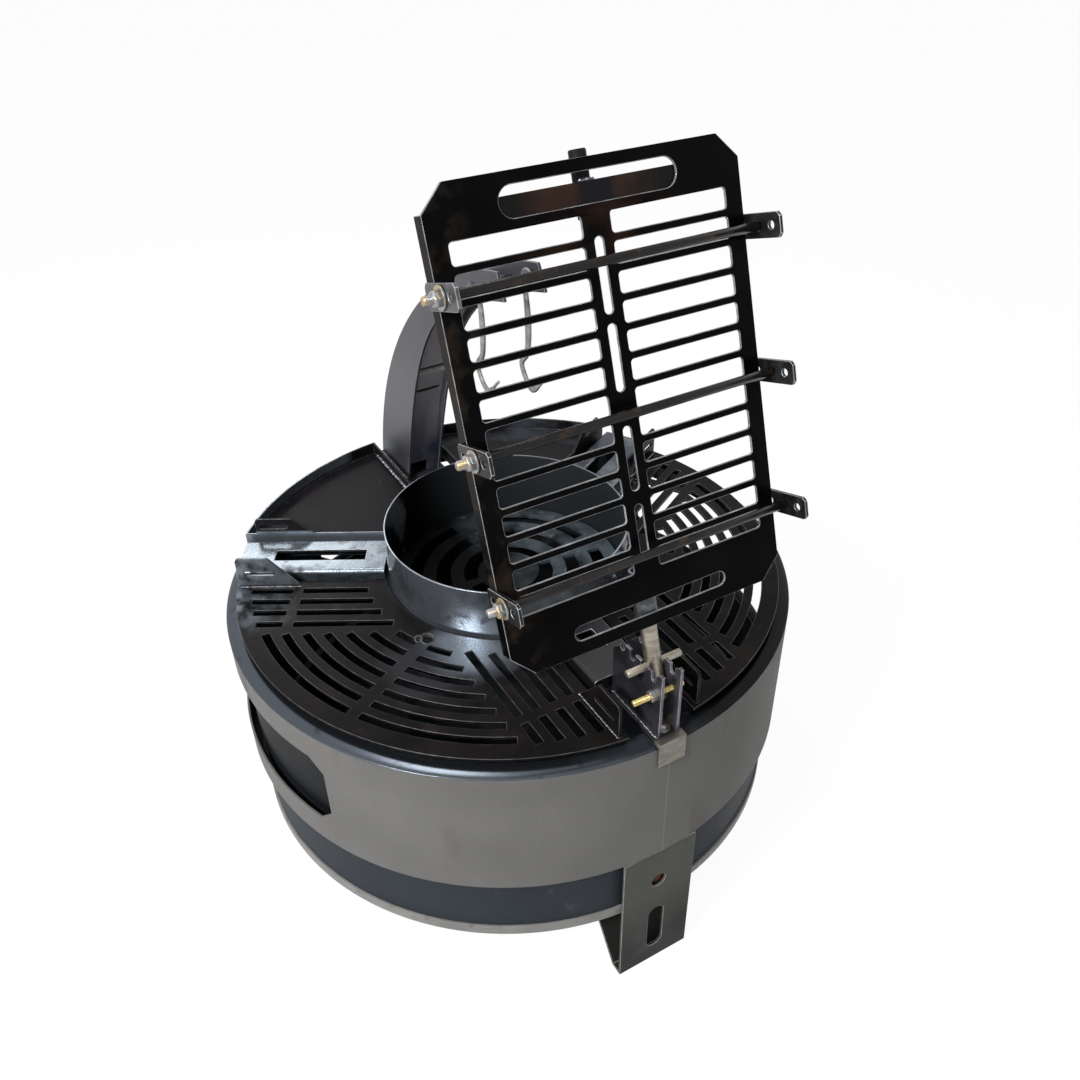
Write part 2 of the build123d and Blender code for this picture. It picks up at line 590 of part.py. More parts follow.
# Stop stud through both cheeks, on which the foot of the shaft leans, with its two nuts
with BuildPart() as stop_stud:
    with BuildSketch(upright(STUD_RANGE[0])):
        with Locations((stud_y, stud_z)):
            Circle(STUD_RADIUS)
    extrude(amount=STUD_RANGE[1] - STUD_RANGE[0])
save(stop_stud.part, "stop_stud")

with BuildPart() as stop_nuts:
    for side in (-1, 1):
        with BuildSketch(upright(side * BRACKET_HALF_WIDTH)):
            with Locations((stud_y, stud_z)):
                RegularPolygon(STUD_NUT_RADIUS, 6)
                Circle(STUD_RADIUS + BOLT_CLEARANCE, mode=Mode.SUBTRACT)
        extrude(amount=side * STUD_NUT)
save(stop_nuts.part, "stop_nuts")

# Shaft with its cross pin
with BuildPart() as shaft:
    with BuildSketch(shaft_plane(-SHAFT_BELOW)):
        Circle(SHAFT_RADIUS)
    extrude(amount=SHAFT_BELOW + SHAFT_ABOVE)
    with BuildSketch(upright(0, PIN_Y, PIN_Z)):
        Circle(PIN_RADIUS + RUNNING_FIT)
    extrude(amount=2 * SHAFT_RADIUS, both=True, mode=Mode.SUBTRACT)
save(shaft.part, "shaft")

with BuildPart() as cross_pin:
    with BuildSketch(upright(0, PIN_Y, PIN_Z)):
        Circle(PIN_RADIUS)
    extrude(amount=PIN_HALF_LENGTH, both=True)
save(cross_pin.part, "cross_pin")

# Rack: one cut sheet with handle slots, two ladders of openings, a slotted spine and folded sides
rack_middle = (RACK_LOW + RACK_HIGH) / 2
grid_pitch = (GRID_HIGH - GRID_LOW) / GRID_ROWS
opening_width = RACK_WIDTH / 2 - SIDE_STRIP - SPINE_HALF_WIDTH
with BuildPart() as rack_frame:
    with BuildSketch(RACK_PLANE.offset(RACK_BACK)) as face:
        with Locations((0, rack_middle)):
            Rectangle(RACK_WIDTH, RACK_HIGH - RACK_LOW)
        chamfer(face.vertices(), length=RACK_CHAMFER)
        with Locations((0, HANDLE_LOW_AT)):
            SlotOverall(HANDLE_LENGTH, HANDLE_LOW_WIDTH, mode=Mode.SUBTRACT)
        with Locations((0, HANDLE_HIGH_AT)):
            SlotOverall(HANDLE_LENGTH, HANDLE_HIGH_WIDTH, mode=Mode.SUBTRACT)
        with Locations((0, (GRID_LOW + GRID_HIGH) / 2)):
            with GridLocations(opening_width + 2 * SPINE_HALF_WIDTH, grid_pitch, 2, GRID_ROWS):
                RectangleRounded(opening_width, grid_pitch - BAR_WIDTH, OPENING_CORNER, mode=Mode.SUBTRACT)
        for low, high in SPINE_SLOTS:
            with Locations((0, (low + high) / 2)):
                SlotOverall(high - low, SPINE_SLOT_WIDTH, rotation=90, mode=Mode.SUBTRACT)
    extrude(amount=SHEET)
    with BuildSketch(RACK_PLANE.offset(RACK_BACK - FLANGE_DEPTH)):
        for side in (-1, 1):
            with Locations((side * (RACK_WIDTH - SHEET) / 2, rack_middle)):
                Rectangle(SHEET, RACK_HIGH - RACK_LOW - 2 * RACK_CHAMFER)
    extrude(amount=FLANGE_DEPTH)
save(rack_frame.part, "rack_frame")

# Bar behind the upper handle slot and the stub that it carries
with BuildPart() as rack_crossbar:
    with BuildSketch(RACK_PLANE.offset(CROSSBAR_BACK)):
        with Locations((0, sum(CROSSBAR_RANGE) / 2)):
            Rectangle(2 * CROSSBAR_HALF_LENGTH, CROSSBAR_RANGE[1] - CROSSBAR_RANGE[0])
    extrude(amount=RACK_BACK - CROSSBAR_BACK)
save(rack_crossbar.part, "rack_crossbar")

with BuildPart() as rack_stub:
    with BuildSketch(shaft_plane(STUB_RANGE[0])):
        Circle(STUB_RADIUS)
    extrude(amount=STUB_RANGE[1] - STUB_RANGE[0])
    with BuildSketch(RACK_PLANE.offset(CROSSBAR_BACK)):
        with Locations((0, sum(CROSSBAR_RANGE) / 2)):
            Rectangle(4 * STUB_RADIUS, CROSSBAR_RANGE[1] - CROSSBAR_RANGE[0] + 1)
    extrude(amount=STUB_RADIUS, mode=Mode.SUBTRACT)
save(rack_stub.part, "rack_stub")

# Sleeve that turns on the shaft, with a pad welded to the rack and a brass set screw
with BuildPart() as rack_sleeve:
    with BuildSketch(shaft_plane(SLEEVE_RANGE[0])):
        Circle(SLEEVE_RADIUS)
    extrude(amount=SLEEVE_RANGE[1] - SLEEVE_RANGE[0])
    with BuildSketch(shaft_plane(SLEEVE_PAD_LOW)):
        with Locations((0, -RACK_BACK / 2)):
            Rectangle(2 * SLEEVE_RADIUS, RACK_BACK)
    extrude(amount=SLEEVE_RANGE[1] - SLEEVE_PAD_LOW)
    with BuildSketch(shaft_plane(SLEEVE_RANGE[0])):
        Circle(SHAFT_RADIUS + RUNNING_FIT)
    extrude(amount=SLEEVE_RANGE[1] - SLEEVE_RANGE[0], mode=Mode.SUBTRACT)
    with BuildSketch(across(0)):
        with Locations((SET_SCREW_AT, 0)):
            Circle(STUD_RADIUS + BOLT_CLEARANCE)
    extrude(amount=-2 * SLEEVE_RADIUS, mode=Mode.SUBTRACT)
save(rack_sleeve.part, "rack_sleeve")

with BuildPart() as set_screw:
    with BuildSketch(across(SET_SCREW_OUTER_X)):
        with Locations((SET_SCREW_AT, 0)):
            Circle(STUD_RADIUS)
    extrude(amount=-SHAFT_RADIUS - STUD_GAP - SET_SCREW_OUTER_X)
    with BuildSketch(across(-SLEEVE_RADIUS - STUD_NUT)):
        with Locations((SET_SCREW_AT, 0)):
            RegularPolygon(STUD_NUT_RADIUS, 6)
    extrude(amount=STUD_NUT)
save(set_screw.part, "set_screw")

# Clamp bars: a rod through two side plates, its threaded end carrying a flange nut
rod_hole = ROD_RADIUS + RUNNING_FIT
for name, height in CLAMP_HEIGHTS.items():
    with BuildPart() as rod:
        with BuildSketch(across(ROD_LEFT_X)):
            with Locations((height, ROD_N)):
                Circle(ROD_RADIUS)
        extrude(amount=CLAMP_PLATE_X + CLAMP_SHEET - ROD_LEFT_X)
    save(rod.part, f"clamp_{name}_rod")
    for side_name, side in (("left", -1), ("right", 1)):
        with BuildPart() as clamp_plate:
            with BuildSketch(across(side * CLAMP_PLATE_X)) as outline:
                with Locations((height, sum(CLAMP_PLATE_RANGE) / 2)):
                    Rectangle(2 * CLAMP_HALF_HEIGHT, CLAMP_PLATE_RANGE[1] - CLAMP_PLATE_RANGE[0])
                chamfer(outline.vertices(), length=CLAMP_SHEET)
                with Locations((height, ROD_N)):
                    Circle(rod_hole, mode=Mode.SUBTRACT)
                for hole_n in CLAMP_HOLES:
                    with Locations((height, hole_n)):
                        Circle(CLAMP_HOLE_RADIUS, mode=Mode.SUBTRACT)
            extrude(amount=side * CLAMP_SHEET)
        save(clamp_plate.part, f"clamp_{name}_plate_{side_name}")
    with BuildPart() as flange_nut:
        with BuildSketch(across(NUT_X)):
            with Locations((height, ROD_N)):
                Circle(NUT_FLANGE_RADIUS)
        extrude(amount=-NUT_FLANGE)
        with BuildSketch(across(NUT_X)):
            with Locations((height, ROD_N)):
                RegularPolygon(NUT_RADIUS, 6)
        extrude(amount=-NUT_LENGTH)
        with BuildSketch(across(NUT_X)):
            with Locations((height, ROD_N)):
                Circle(rod_hole)
        extrude(amount=-NUT_LENGTH, mode=Mode.SUBTRACT)
    save(flange_nut.part, f"flange_nut_{name}")

# Arm base: flat bar to a lip over the rim at the back, with two bolts
arm_base_top = RIM_TOP + ARM_BASE_THICKNESS
with BuildPart() as arm_base:
    with BuildSketch(Plane.XY.offset(RIM_TOP)):
        with Locations((0, (ARM_BASE_INNER + LIP_OUTER) / 2)):
            Rectangle(2 * ARM_BASE_HALF_WIDTH, LIP_OUTER - ARM_BASE_INNER)
        with Locations((-ARM_BOLT_X, BOLT_Y), (ARM_BOLT_X, BOLT_Y)):
            Circle(BOLT_RADIUS + BOLT_CLEARANCE, mode=Mode.SUBTRACT)
    extrude(amount=ARM_BASE_THICKNESS)
    with BuildSketch(Plane.XZ.offset(-LIP_INNER)):
        with Locations((0, (LIP_BOTTOM + arm_base_top) / 2)):
            Rectangle(2 * ARM_BASE_HALF_WIDTH, arm_base_top - LIP_BOTTOM)
    extrude(amount=LIP_INNER - LIP_OUTER)
save(arm_base.part, "arm_base")

with BuildPart() as arm_bolts:
    with BuildSketch(Plane.XY.offset(arm_base_top)):
        with Locations((-ARM_BOLT_X, BOLT_Y), (ARM_BOLT_X, BOLT_Y)):
            RegularPolygon(BOLT_HEAD_RADIUS, 6)
    extrude(amount=BOLT_HEAD)
    with BuildSketch(Plane.XY.offset(RIM_BOTTOM - BOLT_HEAD)):
        with Locations((-ARM_BOLT_X, BOLT_Y), (ARM_BOLT_X, BOLT_Y)):
            Circle(BOLT_RADIUS)
    extrude(amount=arm_base_top - RIM_BOTTOM + BOLT_HEAD)
save(arm_bolts.part, "arm_bolts")

# Arm cheeks: two curved plates, drilled near the tip for the hanger rods
for name, x in (("left", -ARM_HALF_WIDTH), ("right", ARM_HALF_WIDTH - ARM_SHEET)):
    with BuildPart() as arm_cheek:
        with BuildSketch(upright(x, 0, RIM_TOP)):
            with BuildLine():
                outer_edge = Spline(*arm_points(ARM_OUTER_CURVE))
                inner_edge = Spline(*arm_points(ARM_INNER_CURVE))
                Line(outer_edge @ 1, inner_edge @ 0)
                Line(inner_edge @ 1, outer_edge @ 0)
            make_face()
            for hanger_x, y, z in HANGERS.values():
                with Locations((y, z)):
                    Circle(HANGER_RADIUS + BOLT_CLEARANCE, mode=Mode.SUBTRACT)
        extrude(amount=ARM_SHEET)
    save(arm_cheek.part, f"arm_cheek_{name}")

# Arm web: curved sheet between the cheeks with two cross slots and a rain hole at its foot
web_half_width = ARM_HALF_WIDTH - ARM_SHEET
with BuildPart() as arm_web:
    with BuildSketch(upright(0, 0, RIM_TOP)):
        with BuildLine():
            Spline(*arm_points(ARM_WEB_CURVE))
        trace(line_width=SHEET)
    extrude(amount=web_half_width, both=True)
    for reach, z, lean in WEB_SLOTS:
        normal = (0, -math.cos(math.radians(lean)), -math.sin(math.radians(lean)))
        with BuildSketch(Plane(origin=(0, ARM_FOOT - reach, RIM_TOP + z), x_dir=(1, 0, 0), z_dir=normal)):
            Rectangle(*WEB_SLOT)
        extrude(amount=4 * SHEET, both=True, mode=Mode.SUBTRACT)
    with BuildSketch(Plane.XZ.offset(-(ARM_FOOT - ARM_WEB_CURVE[0][0]))):
        with Locations(((WEB_FOOT_RIGHT - web_half_width) / 2, arm_base_top + WEB_FOOT_HEIGHT / 2)):
            Rectangle(WEB_FOOT_RIGHT + web_half_width, WEB_FOOT_HEIGHT)
    extrude(amount=8 * SHEET, both=True, mode=Mode.SUBTRACT)
    split(bisect_by=Plane.XY.offset(arm_base_top))
save(arm_web.part, "arm_web")

# Arm back: curved sheet that closes the arm behind, up to the open tip where the hooks hang
with BuildPart() as arm_back:
    with BuildSketch(upright(0, 0, RIM_TOP)):
        with BuildLine():
            Spline(*arm_points(ARM_BACK_CURVE))
        trace(line_width=SHEET)
    extrude(amount=web_half_width, both=True)
    split(bisect_by=Plane.XY.offset(arm_base_top))
save(arm_back.part, "arm_back")

# Hanger rods across the arm's tip
with BuildPart() as hanger_rods:
    for hanger_x, y, z in HANGERS.values():
        with BuildSketch(upright(0, y, RIM_TOP + z)):
            Circle(HANGER_RADIUS)
        extrude(amount=HANGER_HALF_LENGTH, both=True)
save(hanger_rods.part, "hanger_rods")

# Hooks: flat steel, bent over a hanger rod above and into a claw below
hook_seat = HANGER_RADIUS + RUNNING_FIT + HOOK_WIDTH / 2
for name, (hanger_x, y, z) in HANGERS.items():
    with BuildPart() as hook:
        with BuildSketch(upright(hanger_x, y, RIM_TOP + z)):
            with BuildLine():
                seat = CenterArc((0, 0), hook_seat, 0, 190)
                Spline(seat @ 0, *HOOK_CURVE, tangents=[(0, -1), (-0.4, 1)])
            trace(line_width=HOOK_WIDTH)
        extrude(amount=HOOK_SHEET / 2, both=True)
    save(hook.part, f"hook_{name}")
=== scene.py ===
import bpy
import bmesh
import json
import math
import numpy as np
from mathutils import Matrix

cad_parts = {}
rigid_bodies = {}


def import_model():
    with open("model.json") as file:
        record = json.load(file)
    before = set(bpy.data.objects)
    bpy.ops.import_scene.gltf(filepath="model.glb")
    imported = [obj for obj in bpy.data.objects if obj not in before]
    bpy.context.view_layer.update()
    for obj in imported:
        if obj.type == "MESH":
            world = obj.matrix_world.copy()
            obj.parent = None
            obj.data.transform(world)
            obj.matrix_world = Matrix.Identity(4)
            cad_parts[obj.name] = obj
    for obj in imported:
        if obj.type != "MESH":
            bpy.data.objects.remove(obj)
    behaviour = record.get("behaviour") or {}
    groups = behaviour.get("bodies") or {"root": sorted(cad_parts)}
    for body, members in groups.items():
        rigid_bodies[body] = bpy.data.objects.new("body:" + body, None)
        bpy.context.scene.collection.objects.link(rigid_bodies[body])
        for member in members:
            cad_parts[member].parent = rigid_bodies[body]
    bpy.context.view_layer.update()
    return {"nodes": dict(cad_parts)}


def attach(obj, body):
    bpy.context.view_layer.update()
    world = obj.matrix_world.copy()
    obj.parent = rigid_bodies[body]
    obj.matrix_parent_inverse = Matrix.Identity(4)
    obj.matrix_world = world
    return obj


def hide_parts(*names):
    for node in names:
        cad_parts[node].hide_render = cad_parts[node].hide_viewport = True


for leftover in list(bpy.data.objects):
    bpy.data.objects.remove(leftover)
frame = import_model()

# Skirt: the outer wall of the fire pit, three steel strips rolled round and welded end to end.
# Each has a window with cut corners that lets air in, at the two sides and at the back.
# The upright welds are ground almost flush, and a matt mid grey paint covers all of it.
RIM_RADIUS = 0.400
WALL_SHEET = 0.003
WALL_STEP_DEGREES = 1.5
SKIRT_LOW = 0.239
WALL_HIGH = 0.436
WINDOW_HALF = 0.1785
WINDOW_LOW = 0.282
WINDOW_HIGH = 0.395
WINDOW_CUT = 0.020
WINDOW_TURNS = (0.0, 90.0, 180.0)
ROWS_UNDER, ROWS_ACROSS, ROWS_OVER = 5, 7, 3
SEAM_TURNS = {"front": -90.0, "right": 45.0, "left": 135.0}
SEAM_HALF = 0.0011
SEAM_LIFT = 0.00022
SEAM_SUNK = 0.0001
MERGE_WITHIN = 1e-6


def shade(red, green, blue):
    """Linear colour from screen values of 0 to 255: ((c / 255 + 0.055) / 1.055) to the power 2.4."""
    screen = np.array([red, green, blue]) / 255
    return (*(((screen + 0.055) / 1.055) ** 2.4).tolist(), 1.0)


def feed(tree, node, inputs):
    """Each input of a node, by name or number, linked to a socket or set to a value."""
    for key, value in inputs.items():
        if isinstance(value, bpy.types.NodeSocket):
            tree.links.new(value, node.inputs[key])
        else:
            node.inputs[key].default_value = value


def add(tree, kind, inputs, **settings):
    """A new node of a kind, with its settings and inputs."""
    node = tree.nodes.new("ShaderNode" + kind)
    for setting, value in settings.items():
        setattr(node, setting, value)
    feed(tree, node, inputs)
    return node


def finish(name, colours, grain, rough, metal=0.0, specular=0.5, stretch=(1, 1, 1), grit=(900, 0.0001),
           stains=()):
    """Paint or metal on object coordinates, in metres, from colours in screen values.

    A noise of `grain` swells per metre runs through the colours and through the two roughness values.
    Each stain lays its colour where a second noise lies between two limits, kept if asked to runs along X,
    Y, Z or the way outward from the drum's axis. A fine noise of `grit` grains per metre lifts the surface
    by its second number.
    """
    noise_low, noise_high = 0.3, 0.7  # nearly all of a noise lies between these
    material = bpy.data.materials.new(name)
    material.use_nodes = True
    tree = material.node_tree
    shader = tree.nodes["Principled BSDF"]
    shader.inputs["Specular IOR Level"].default_value = specular
    place = add(tree, "TexCoord", {}).outputs["Object"]

    def noise(per_metre, along, detail):
        spread = add(tree, "Mapping", {"Vector": place, "Scale": along}).outputs["Vector"]
        return add(tree, "TexNoise", {"Vector": spread, "Scale": per_metre, "Detail": detail}).outputs[0]

    def span(value, low, high, start, end):
        limits = {"From Min": low, "From Max": high, "To Min": start, "To Max": end}
        return add(tree, "MapRange", {"Value": value, **limits}).outputs["Result"]

    def run(axis):
        if axis == "outward":
            level = add(tree, "VectorMath", {0: place, 1: (1, 1, 0)}, operation="MULTIPLY").outputs["Vector"]
            return add(tree, "VectorMath", {0: level}, operation="LENGTH").outputs["Value"]
        return add(tree, "SeparateXYZ", {0: place}).outputs[axis]

    def mix(kind, factor, under, over):
        first, second, result = (6, 7, 2) if kind == "RGBA" else (2, 3, 0)  # the sockets of that kind
        blend = add(tree, "Mix", {0: factor, first: under, second: over}, data_type=kind)
        return blend.outputs[result]

    base = noise(grain, stretch, detail=6.0)
    ramp = add(tree, "ValToRGB", {"Fac": base})
    stops = ramp.color_ramp.elements
    for _ in colours[2:]:
        stops.new(0.5)
    for index, colour in enumerate(colours):
        stops[index].position = noise_low + (noise_high - noise_low) * index / (len(colours) - 1)
        stops[index].color = shade(*colour)
    colour = ramp.outputs["Color"]
    roughness = span(base, noise_low, noise_high, *rough)
    metallic = metal
    for stain in stains:
        blots = noise(stain["grain"], stain.get("stretch", (1, 1, 1)), detail=8.0)
        mask = span(blots, *stain["limits"], 0.0, 1.0)
        for axis, start, end in stain.get("where", ()):
            kept = span(run(axis), start, end, 0.0, 1.0)
            mask = add(tree, "Math", {0: mask, 1: kept}, operation="MULTIPLY").outputs[0]
        colour = mix("RGBA", mask, colour, shade(*stain["colour"]))
        if "rough" in stain:
            roughness = mix("FLOAT", mask, roughness, stain["rough"])
        if "metal" in stain:
            metallic = mix("FLOAT", mask, metallic, stain["metal"])
    grains = noise(grit[0], (1, 1, 1), detail=3.0)
    bump = add(tree, "Bump", {"Height": grains, "Distance": grit[1], "Strength": 1.0}).outputs["Normal"]
    feed(tree, shader, {"Base Color": colour, "Roughness": roughness, "Metallic": metallic, "Normal": bump})
    return material


def grid_faces(rows, columns, round_rows=False, round_columns=False):
    """Quads (i, j) (i, j+1) (i+1, j+1) (i+1, j) of a grid of points, joined up where it closes."""
    i = np.arange(rows if round_rows else rows - 1)
    j = np.arange(columns if round_columns else columns - 1)
    i, j = np.meshgrid(i, j, indexing="ij")
    down, right = (i + 1) % rows, (j + 1) % columns
    corners = [(i, j), (i, right), (down, right), (down, j)]
    quads = np.stack([row * columns + column for row, column in corners], axis=-1)
    return quads.reshape(-1, 4).tolist()


def put(name, shape, material, body, nodes=(), closed=True):
    """One smooth piece from points and faces, with its finish, body and the nodes it stands for.

    A closed shape has its doubles merged and its faces turned outward.
    """
    points, faces = shape
    mesh = bpy.data.meshes.new(name)
    mesh.from_pydata(np.asarray(points).reshape(-1, 3).tolist(), [], faces)
    mesh.polygons.foreach_set("use_smooth", np.ones(len(mesh.polygons), dtype=bool))
    if closed:
        solid = bmesh.new()
        solid.from_mesh(mesh)
        bmesh.ops.remove_doubles(solid, verts=solid.verts, dist=MERGE_WITHIN)
        bmesh.ops.recalc_face_normals(solid, faces=solid.faces)
        solid.to_mesh(mesh)
        solid.free()
    mesh.materials.append(material)
    piece = bpy.data.objects.new(name, mesh)
    bpy.context.scene.collection.objects.link(piece)
    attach(piece, body)
    if nodes:
        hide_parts(*nodes)
    return piece


def ease(piece, width, segments=2, angle=30.0):
    """Bevel on every edge sharper than the angle, as a file or a coat of paint leaves it."""
    bevel = piece.modifiers.new("eased_edges", "BEVEL")
    bevel.width = width
    bevel.segments = segments
    bevel.limit_method = "ANGLE"
    bevel.angle_limit = math.radians(angle)
    bevel.use_clamp_overlap = False
    bevel.harden_normals = True
    return piece


def windowed_wall(name, radius, low, margin, windows, material, nodes):
    """Rolled wall as a grid of angle t and height z, x = r cos t and y = r sin t.

    Each column has three runs of rows: under, across and over the windows. A window's quads are left out of
    the middle run, and the lines between the runs follow its cut corners, one step up per step along.
    """
    half = WINDOW_HALF + margin
    edge = math.degrees(math.asin(half / radius))
    cut = math.degrees(math.asin((half - WINDOW_CUT) / radius))
    marks = [turn + side * spot for turn in windows for side in (-1, 1) for spot in (edge, cut)]
    turns = np.concatenate([np.arange(0, 360, WALL_STEP_DEGREES), np.mod(marks, 360)])
    turns = np.unique(np.round(turns, 6))
    away = np.abs((turns[:, None] - np.array(windows) + 180) % 360 - 180).min(axis=1)
    chord = np.where(away < 90, radius * np.sin(np.radians(away)), half)
    step = np.clip(WINDOW_CUT - (half - chord), 0, WINDOW_CUT)
    bottom, top = np.full_like(step, low), np.full_like(step, WALL_HIGH)
    lower, upper = WINDOW_LOW - margin + step, WINDOW_HIGH + margin - step
    runs = [(bottom, lower, ROWS_UNDER), (lower, upper, ROWS_ACROSS), (upper, top, ROWS_OVER)]
    heights = np.array([a + (b - a) * k / count for a, b, count in runs for k in range(count)] + [top])
    t = np.radians(turns) + 0 * heights
    points = np.stack([np.cos(t) * radius, np.sin(t) * radius, heights], axis=-1)
    rows, columns = heights.shape
    quads = np.array(grid_faces(rows, columns, round_columns=True))
    row, column = quads[:, 0] // columns, quads[:, 0] % columns
    just_past = edge + 1e-4
    inside = (away <= just_past) & (np.roll(away, -1) <= just_past)
    across = (row >= ROWS_UNDER) & (row < ROWS_UNDER + ROWS_ACROSS)
    shape = points, quads[~(across & inside[column])].tolist()
    wall = put(name, shape, material, "stand", nodes, closed=False)
    skin = wall.modifiers.new("sheet", "SOLIDIFY")
    skin.thickness = WALL_SHEET
    skin.offset = -1
    skin.use_even_offset = True
    return ease(wall, width=0.0006)


grey_paint = finish(
    "matt_grey_paint",
    [(112, 111, 109), (119, 118, 116), (126, 125, 123)],
    grain=9, rough=(0.55, 0.7), specular=0.2, grit=(1500, 0.00012),
    stains=[
        dict(colour=(88, 87, 84), grain=1100, limits=(0.6, 0.72)),
        dict(colour=(150, 148, 143), grain=900, limits=(0.66, 0.8)),
        dict(colour=(92, 88, 82), grain=14, stretch=(1, 1, 0.25), limits=(0.62, 0.85)),
    ],
)
painted_weld = finish(
    "painted_weld",
    [(122, 121, 118), (136, 135, 132), (146, 145, 142)],
    grain=200, rough=(0.5, 0.65), specular=0.25, grit=(1500, 0.00012),
)


def ground_seam(turn, low, high, rows=90, columns=7):
    """Ground weld as a grid of height z and offset s: r = R + lift (1 - s^2), its width wavering with z."""
    z = np.linspace(low, high, rows)[:, None]
    s = np.linspace(-1, 1, columns)[None, :]
    wide = SEAM_HALF * (1 + 0.3 * np.sin(z * 900) + 0.2 * np.sin(z * 2300 + 1))
    r = RIM_RADIUS - SEAM_SUNK + SEAM_LIFT * (1 - s**2) + 0 * z
    t = math.radians(turn) + s * wide / RIM_RADIUS
    points = np.stack([r * np.cos(t), r * np.sin(t), z + 0 * s], axis=-1)
    return points.reshape(-1, 3), grid_faces(rows, columns)


windowed_wall("skirt_wall", RIM_RADIUS, SKIRT_LOW, 0.0, WINDOW_TURNS, grey_paint,
              ["skirt_right", "skirt_back", "skirt_left"])
for side, turn in SEAM_TURNS.items():
    put(f"skirt_seam_{side}", ground_seam(turn, SKIRT_LOW, WALL_HIGH), painted_weld, "stand",
        closed=False)

# Inner drum: a second rolled wall in the skirt that reaches lower, sprayed dark slate, closed at the left.
# A thin ring closes the gap between the walls, a flat bar round the foot makes the light band, and a round
# plate makes the floor.
DRUM_RADIUS = 0.388
WINDOW_MARGIN = 0.006
GAP_INNER = 0.3882
GAP_OUTER = 0.3968
GAP_LOW = 0.2408
GAP_HIGH = 0.2428
BAND_INNER = 0.382
BAND_OUTER = 0.391
BAND_LOW = 0.127
BAND_HIGH = 0.143
FLOOR_HIGH = 0.131
FLOOR_MIDDLE = 0.02


def rounded(corners, radius, steps=4):
    """Closed outline with each corner p turned into a curve (1-t)^2 s + 2t(1-t) p + t^2 e.

    The points s and e lie on its two sides, a radius away from it.
    """
    corner = np.asarray(corners, dtype=float)
    before, after = np.roll(corner, 1, axis=0) - corner, np.roll(corner, -1, axis=0) - corner
    start = corner + before * (radius / np.linalg.norm(before, axis=1))[:, None]
    end = corner + after * (radius / np.linalg.norm(after, axis=1))[:, None]
    t = np.linspace(0, 1, steps)[None, :, None]
    curve = (1 - t) ** 2 * start[:, None] + 2 * t * (1 - t) * corner[:, None] + t**2 * end[:, None]
    return curve.reshape(-1, 2)


def turned(outline, steps, centre=(0, 0, 0), axis=(0, 0, 1), start=(1, 0, 0), looped=True):
    """Outline of radius and height carried round an axis: p = c + a h + r (u cos t + v sin t).

    A looped outline gives a ring. An open one is a solid, and its two ends are closed flat.
    """
    outline = np.asarray(outline, dtype=float)
    a, u = np.asarray(axis, dtype=float), np.asarray(start, dtype=float)
    v = np.cross(a, u)
    t = np.linspace(0, 2 * np.pi, steps, endpoint=False)[:, None, None]
    spoke = u * np.cos(t) + v * np.sin(t)
    points = np.asarray(centre) + a * outline[None, :, 1:] + spoke * outline[None, :, :1]
    count = len(outline)
    faces = grid_faces(steps, count, round_rows=True, round_columns=looped)
    if not looped:
        faces += [[k * count for k in range(steps)], [k * count + count - 1 for k in range(steps)]]
    return points.reshape(-1, 3), faces


def ring(outer, inner, low, high, edge=0.001, steps=180):
    """Ring of rectangular section with rounded edges, turned about the drum's axis."""
    outline = rounded([(outer, low), (outer, high), (inner, high), (inner, low)], edge)
    return turned(outline, steps)


slate_paint = finish(
    "slate_paint",
    [(40, 45, 52), (47, 53, 60), (54, 60, 68)],
    grain=7, rough=(0.5, 0.65), specular=0.12, grit=(1300, 0.0001),
    stains=[
        dict(colour=(34, 37, 41), grain=1000, limits=(0.6, 0.74)),
        dict(colour=(82, 86, 90), grain=26, limits=(0.66, 0.9)),
        # painted shade: the wall behind the left window is darkened where it lies in shade
        dict(colour=(15, 17, 20), grain=9, limits=(0.1, 0.35),
             where=[("X", -0.3, -0.33), ("Z", 0.262, 0.285), ("Z", 0.43, 0.41)]),
    ],
)
band_paint = finish(
    "pale_band_paint",
    [(128, 127, 124), (142, 141, 138), (152, 151, 149)],
    grain=18, rough=(0.45, 0.6), specular=0.4, grit=(1300, 0.0001),
    stains=[dict(colour=(96, 93, 88), grain=60, limits=(0.6, 0.8))],
)
windowed_wall("drum_wall_sheet", DRUM_RADIUS, BAND_HIGH, WINDOW_MARGIN, WINDOW_TURNS[:2], slate_paint,
              ["drum_right", "drum_back", "drum_left"])
gap_ring = ring(GAP_OUTER, GAP_INNER, GAP_LOW, GAP_HIGH, edge=0.0004, steps=240)
put("gap_closing_ring", gap_ring, slate_paint, "stand")
foot_ring = ring(BAND_OUTER, BAND_INNER, BAND_LOW, BAND_HIGH, edge=0.0015)
put("foot_band", foot_ring, band_paint, "stand", ["bottom_band"])
floor_outline = [(FLOOR_MIDDLE, BAND_LOW), (BAND_INNER, BAND_LOW), (BAND_INNER, FLOOR_HIGH),
                 (FLOOR_MIDDLE, FLOOR_HIGH)]
put("floor_plate", turned(floor_outline, steps=120, looped=False), slate_paint, "stand",
    ["drum_floor"])

# Rim: a steel ring laid on the two walls and welded to them, its outer edge rounded over.
# It is painted near black, its left half a shining bluish metal as painted reflection, its right half
# left dark as painted shade. Bracket and arm are bolted through it.
RIM_INNER = 0.372
RIM_HIGH = 0.440
RIM_EASE = 0.0007
# Radius and height of the rounded edge, from the flat top outward.
RIM_CROWN = [(0.384, RIM_HIGH), (0.387, 0.4397), (0.390, 0.4392), (0.393, 0.4387), (0.396, 0.4381),
             (0.398, 0.4375), (0.3993, 0.4368), (RIM_RADIUS, 0.4362)]

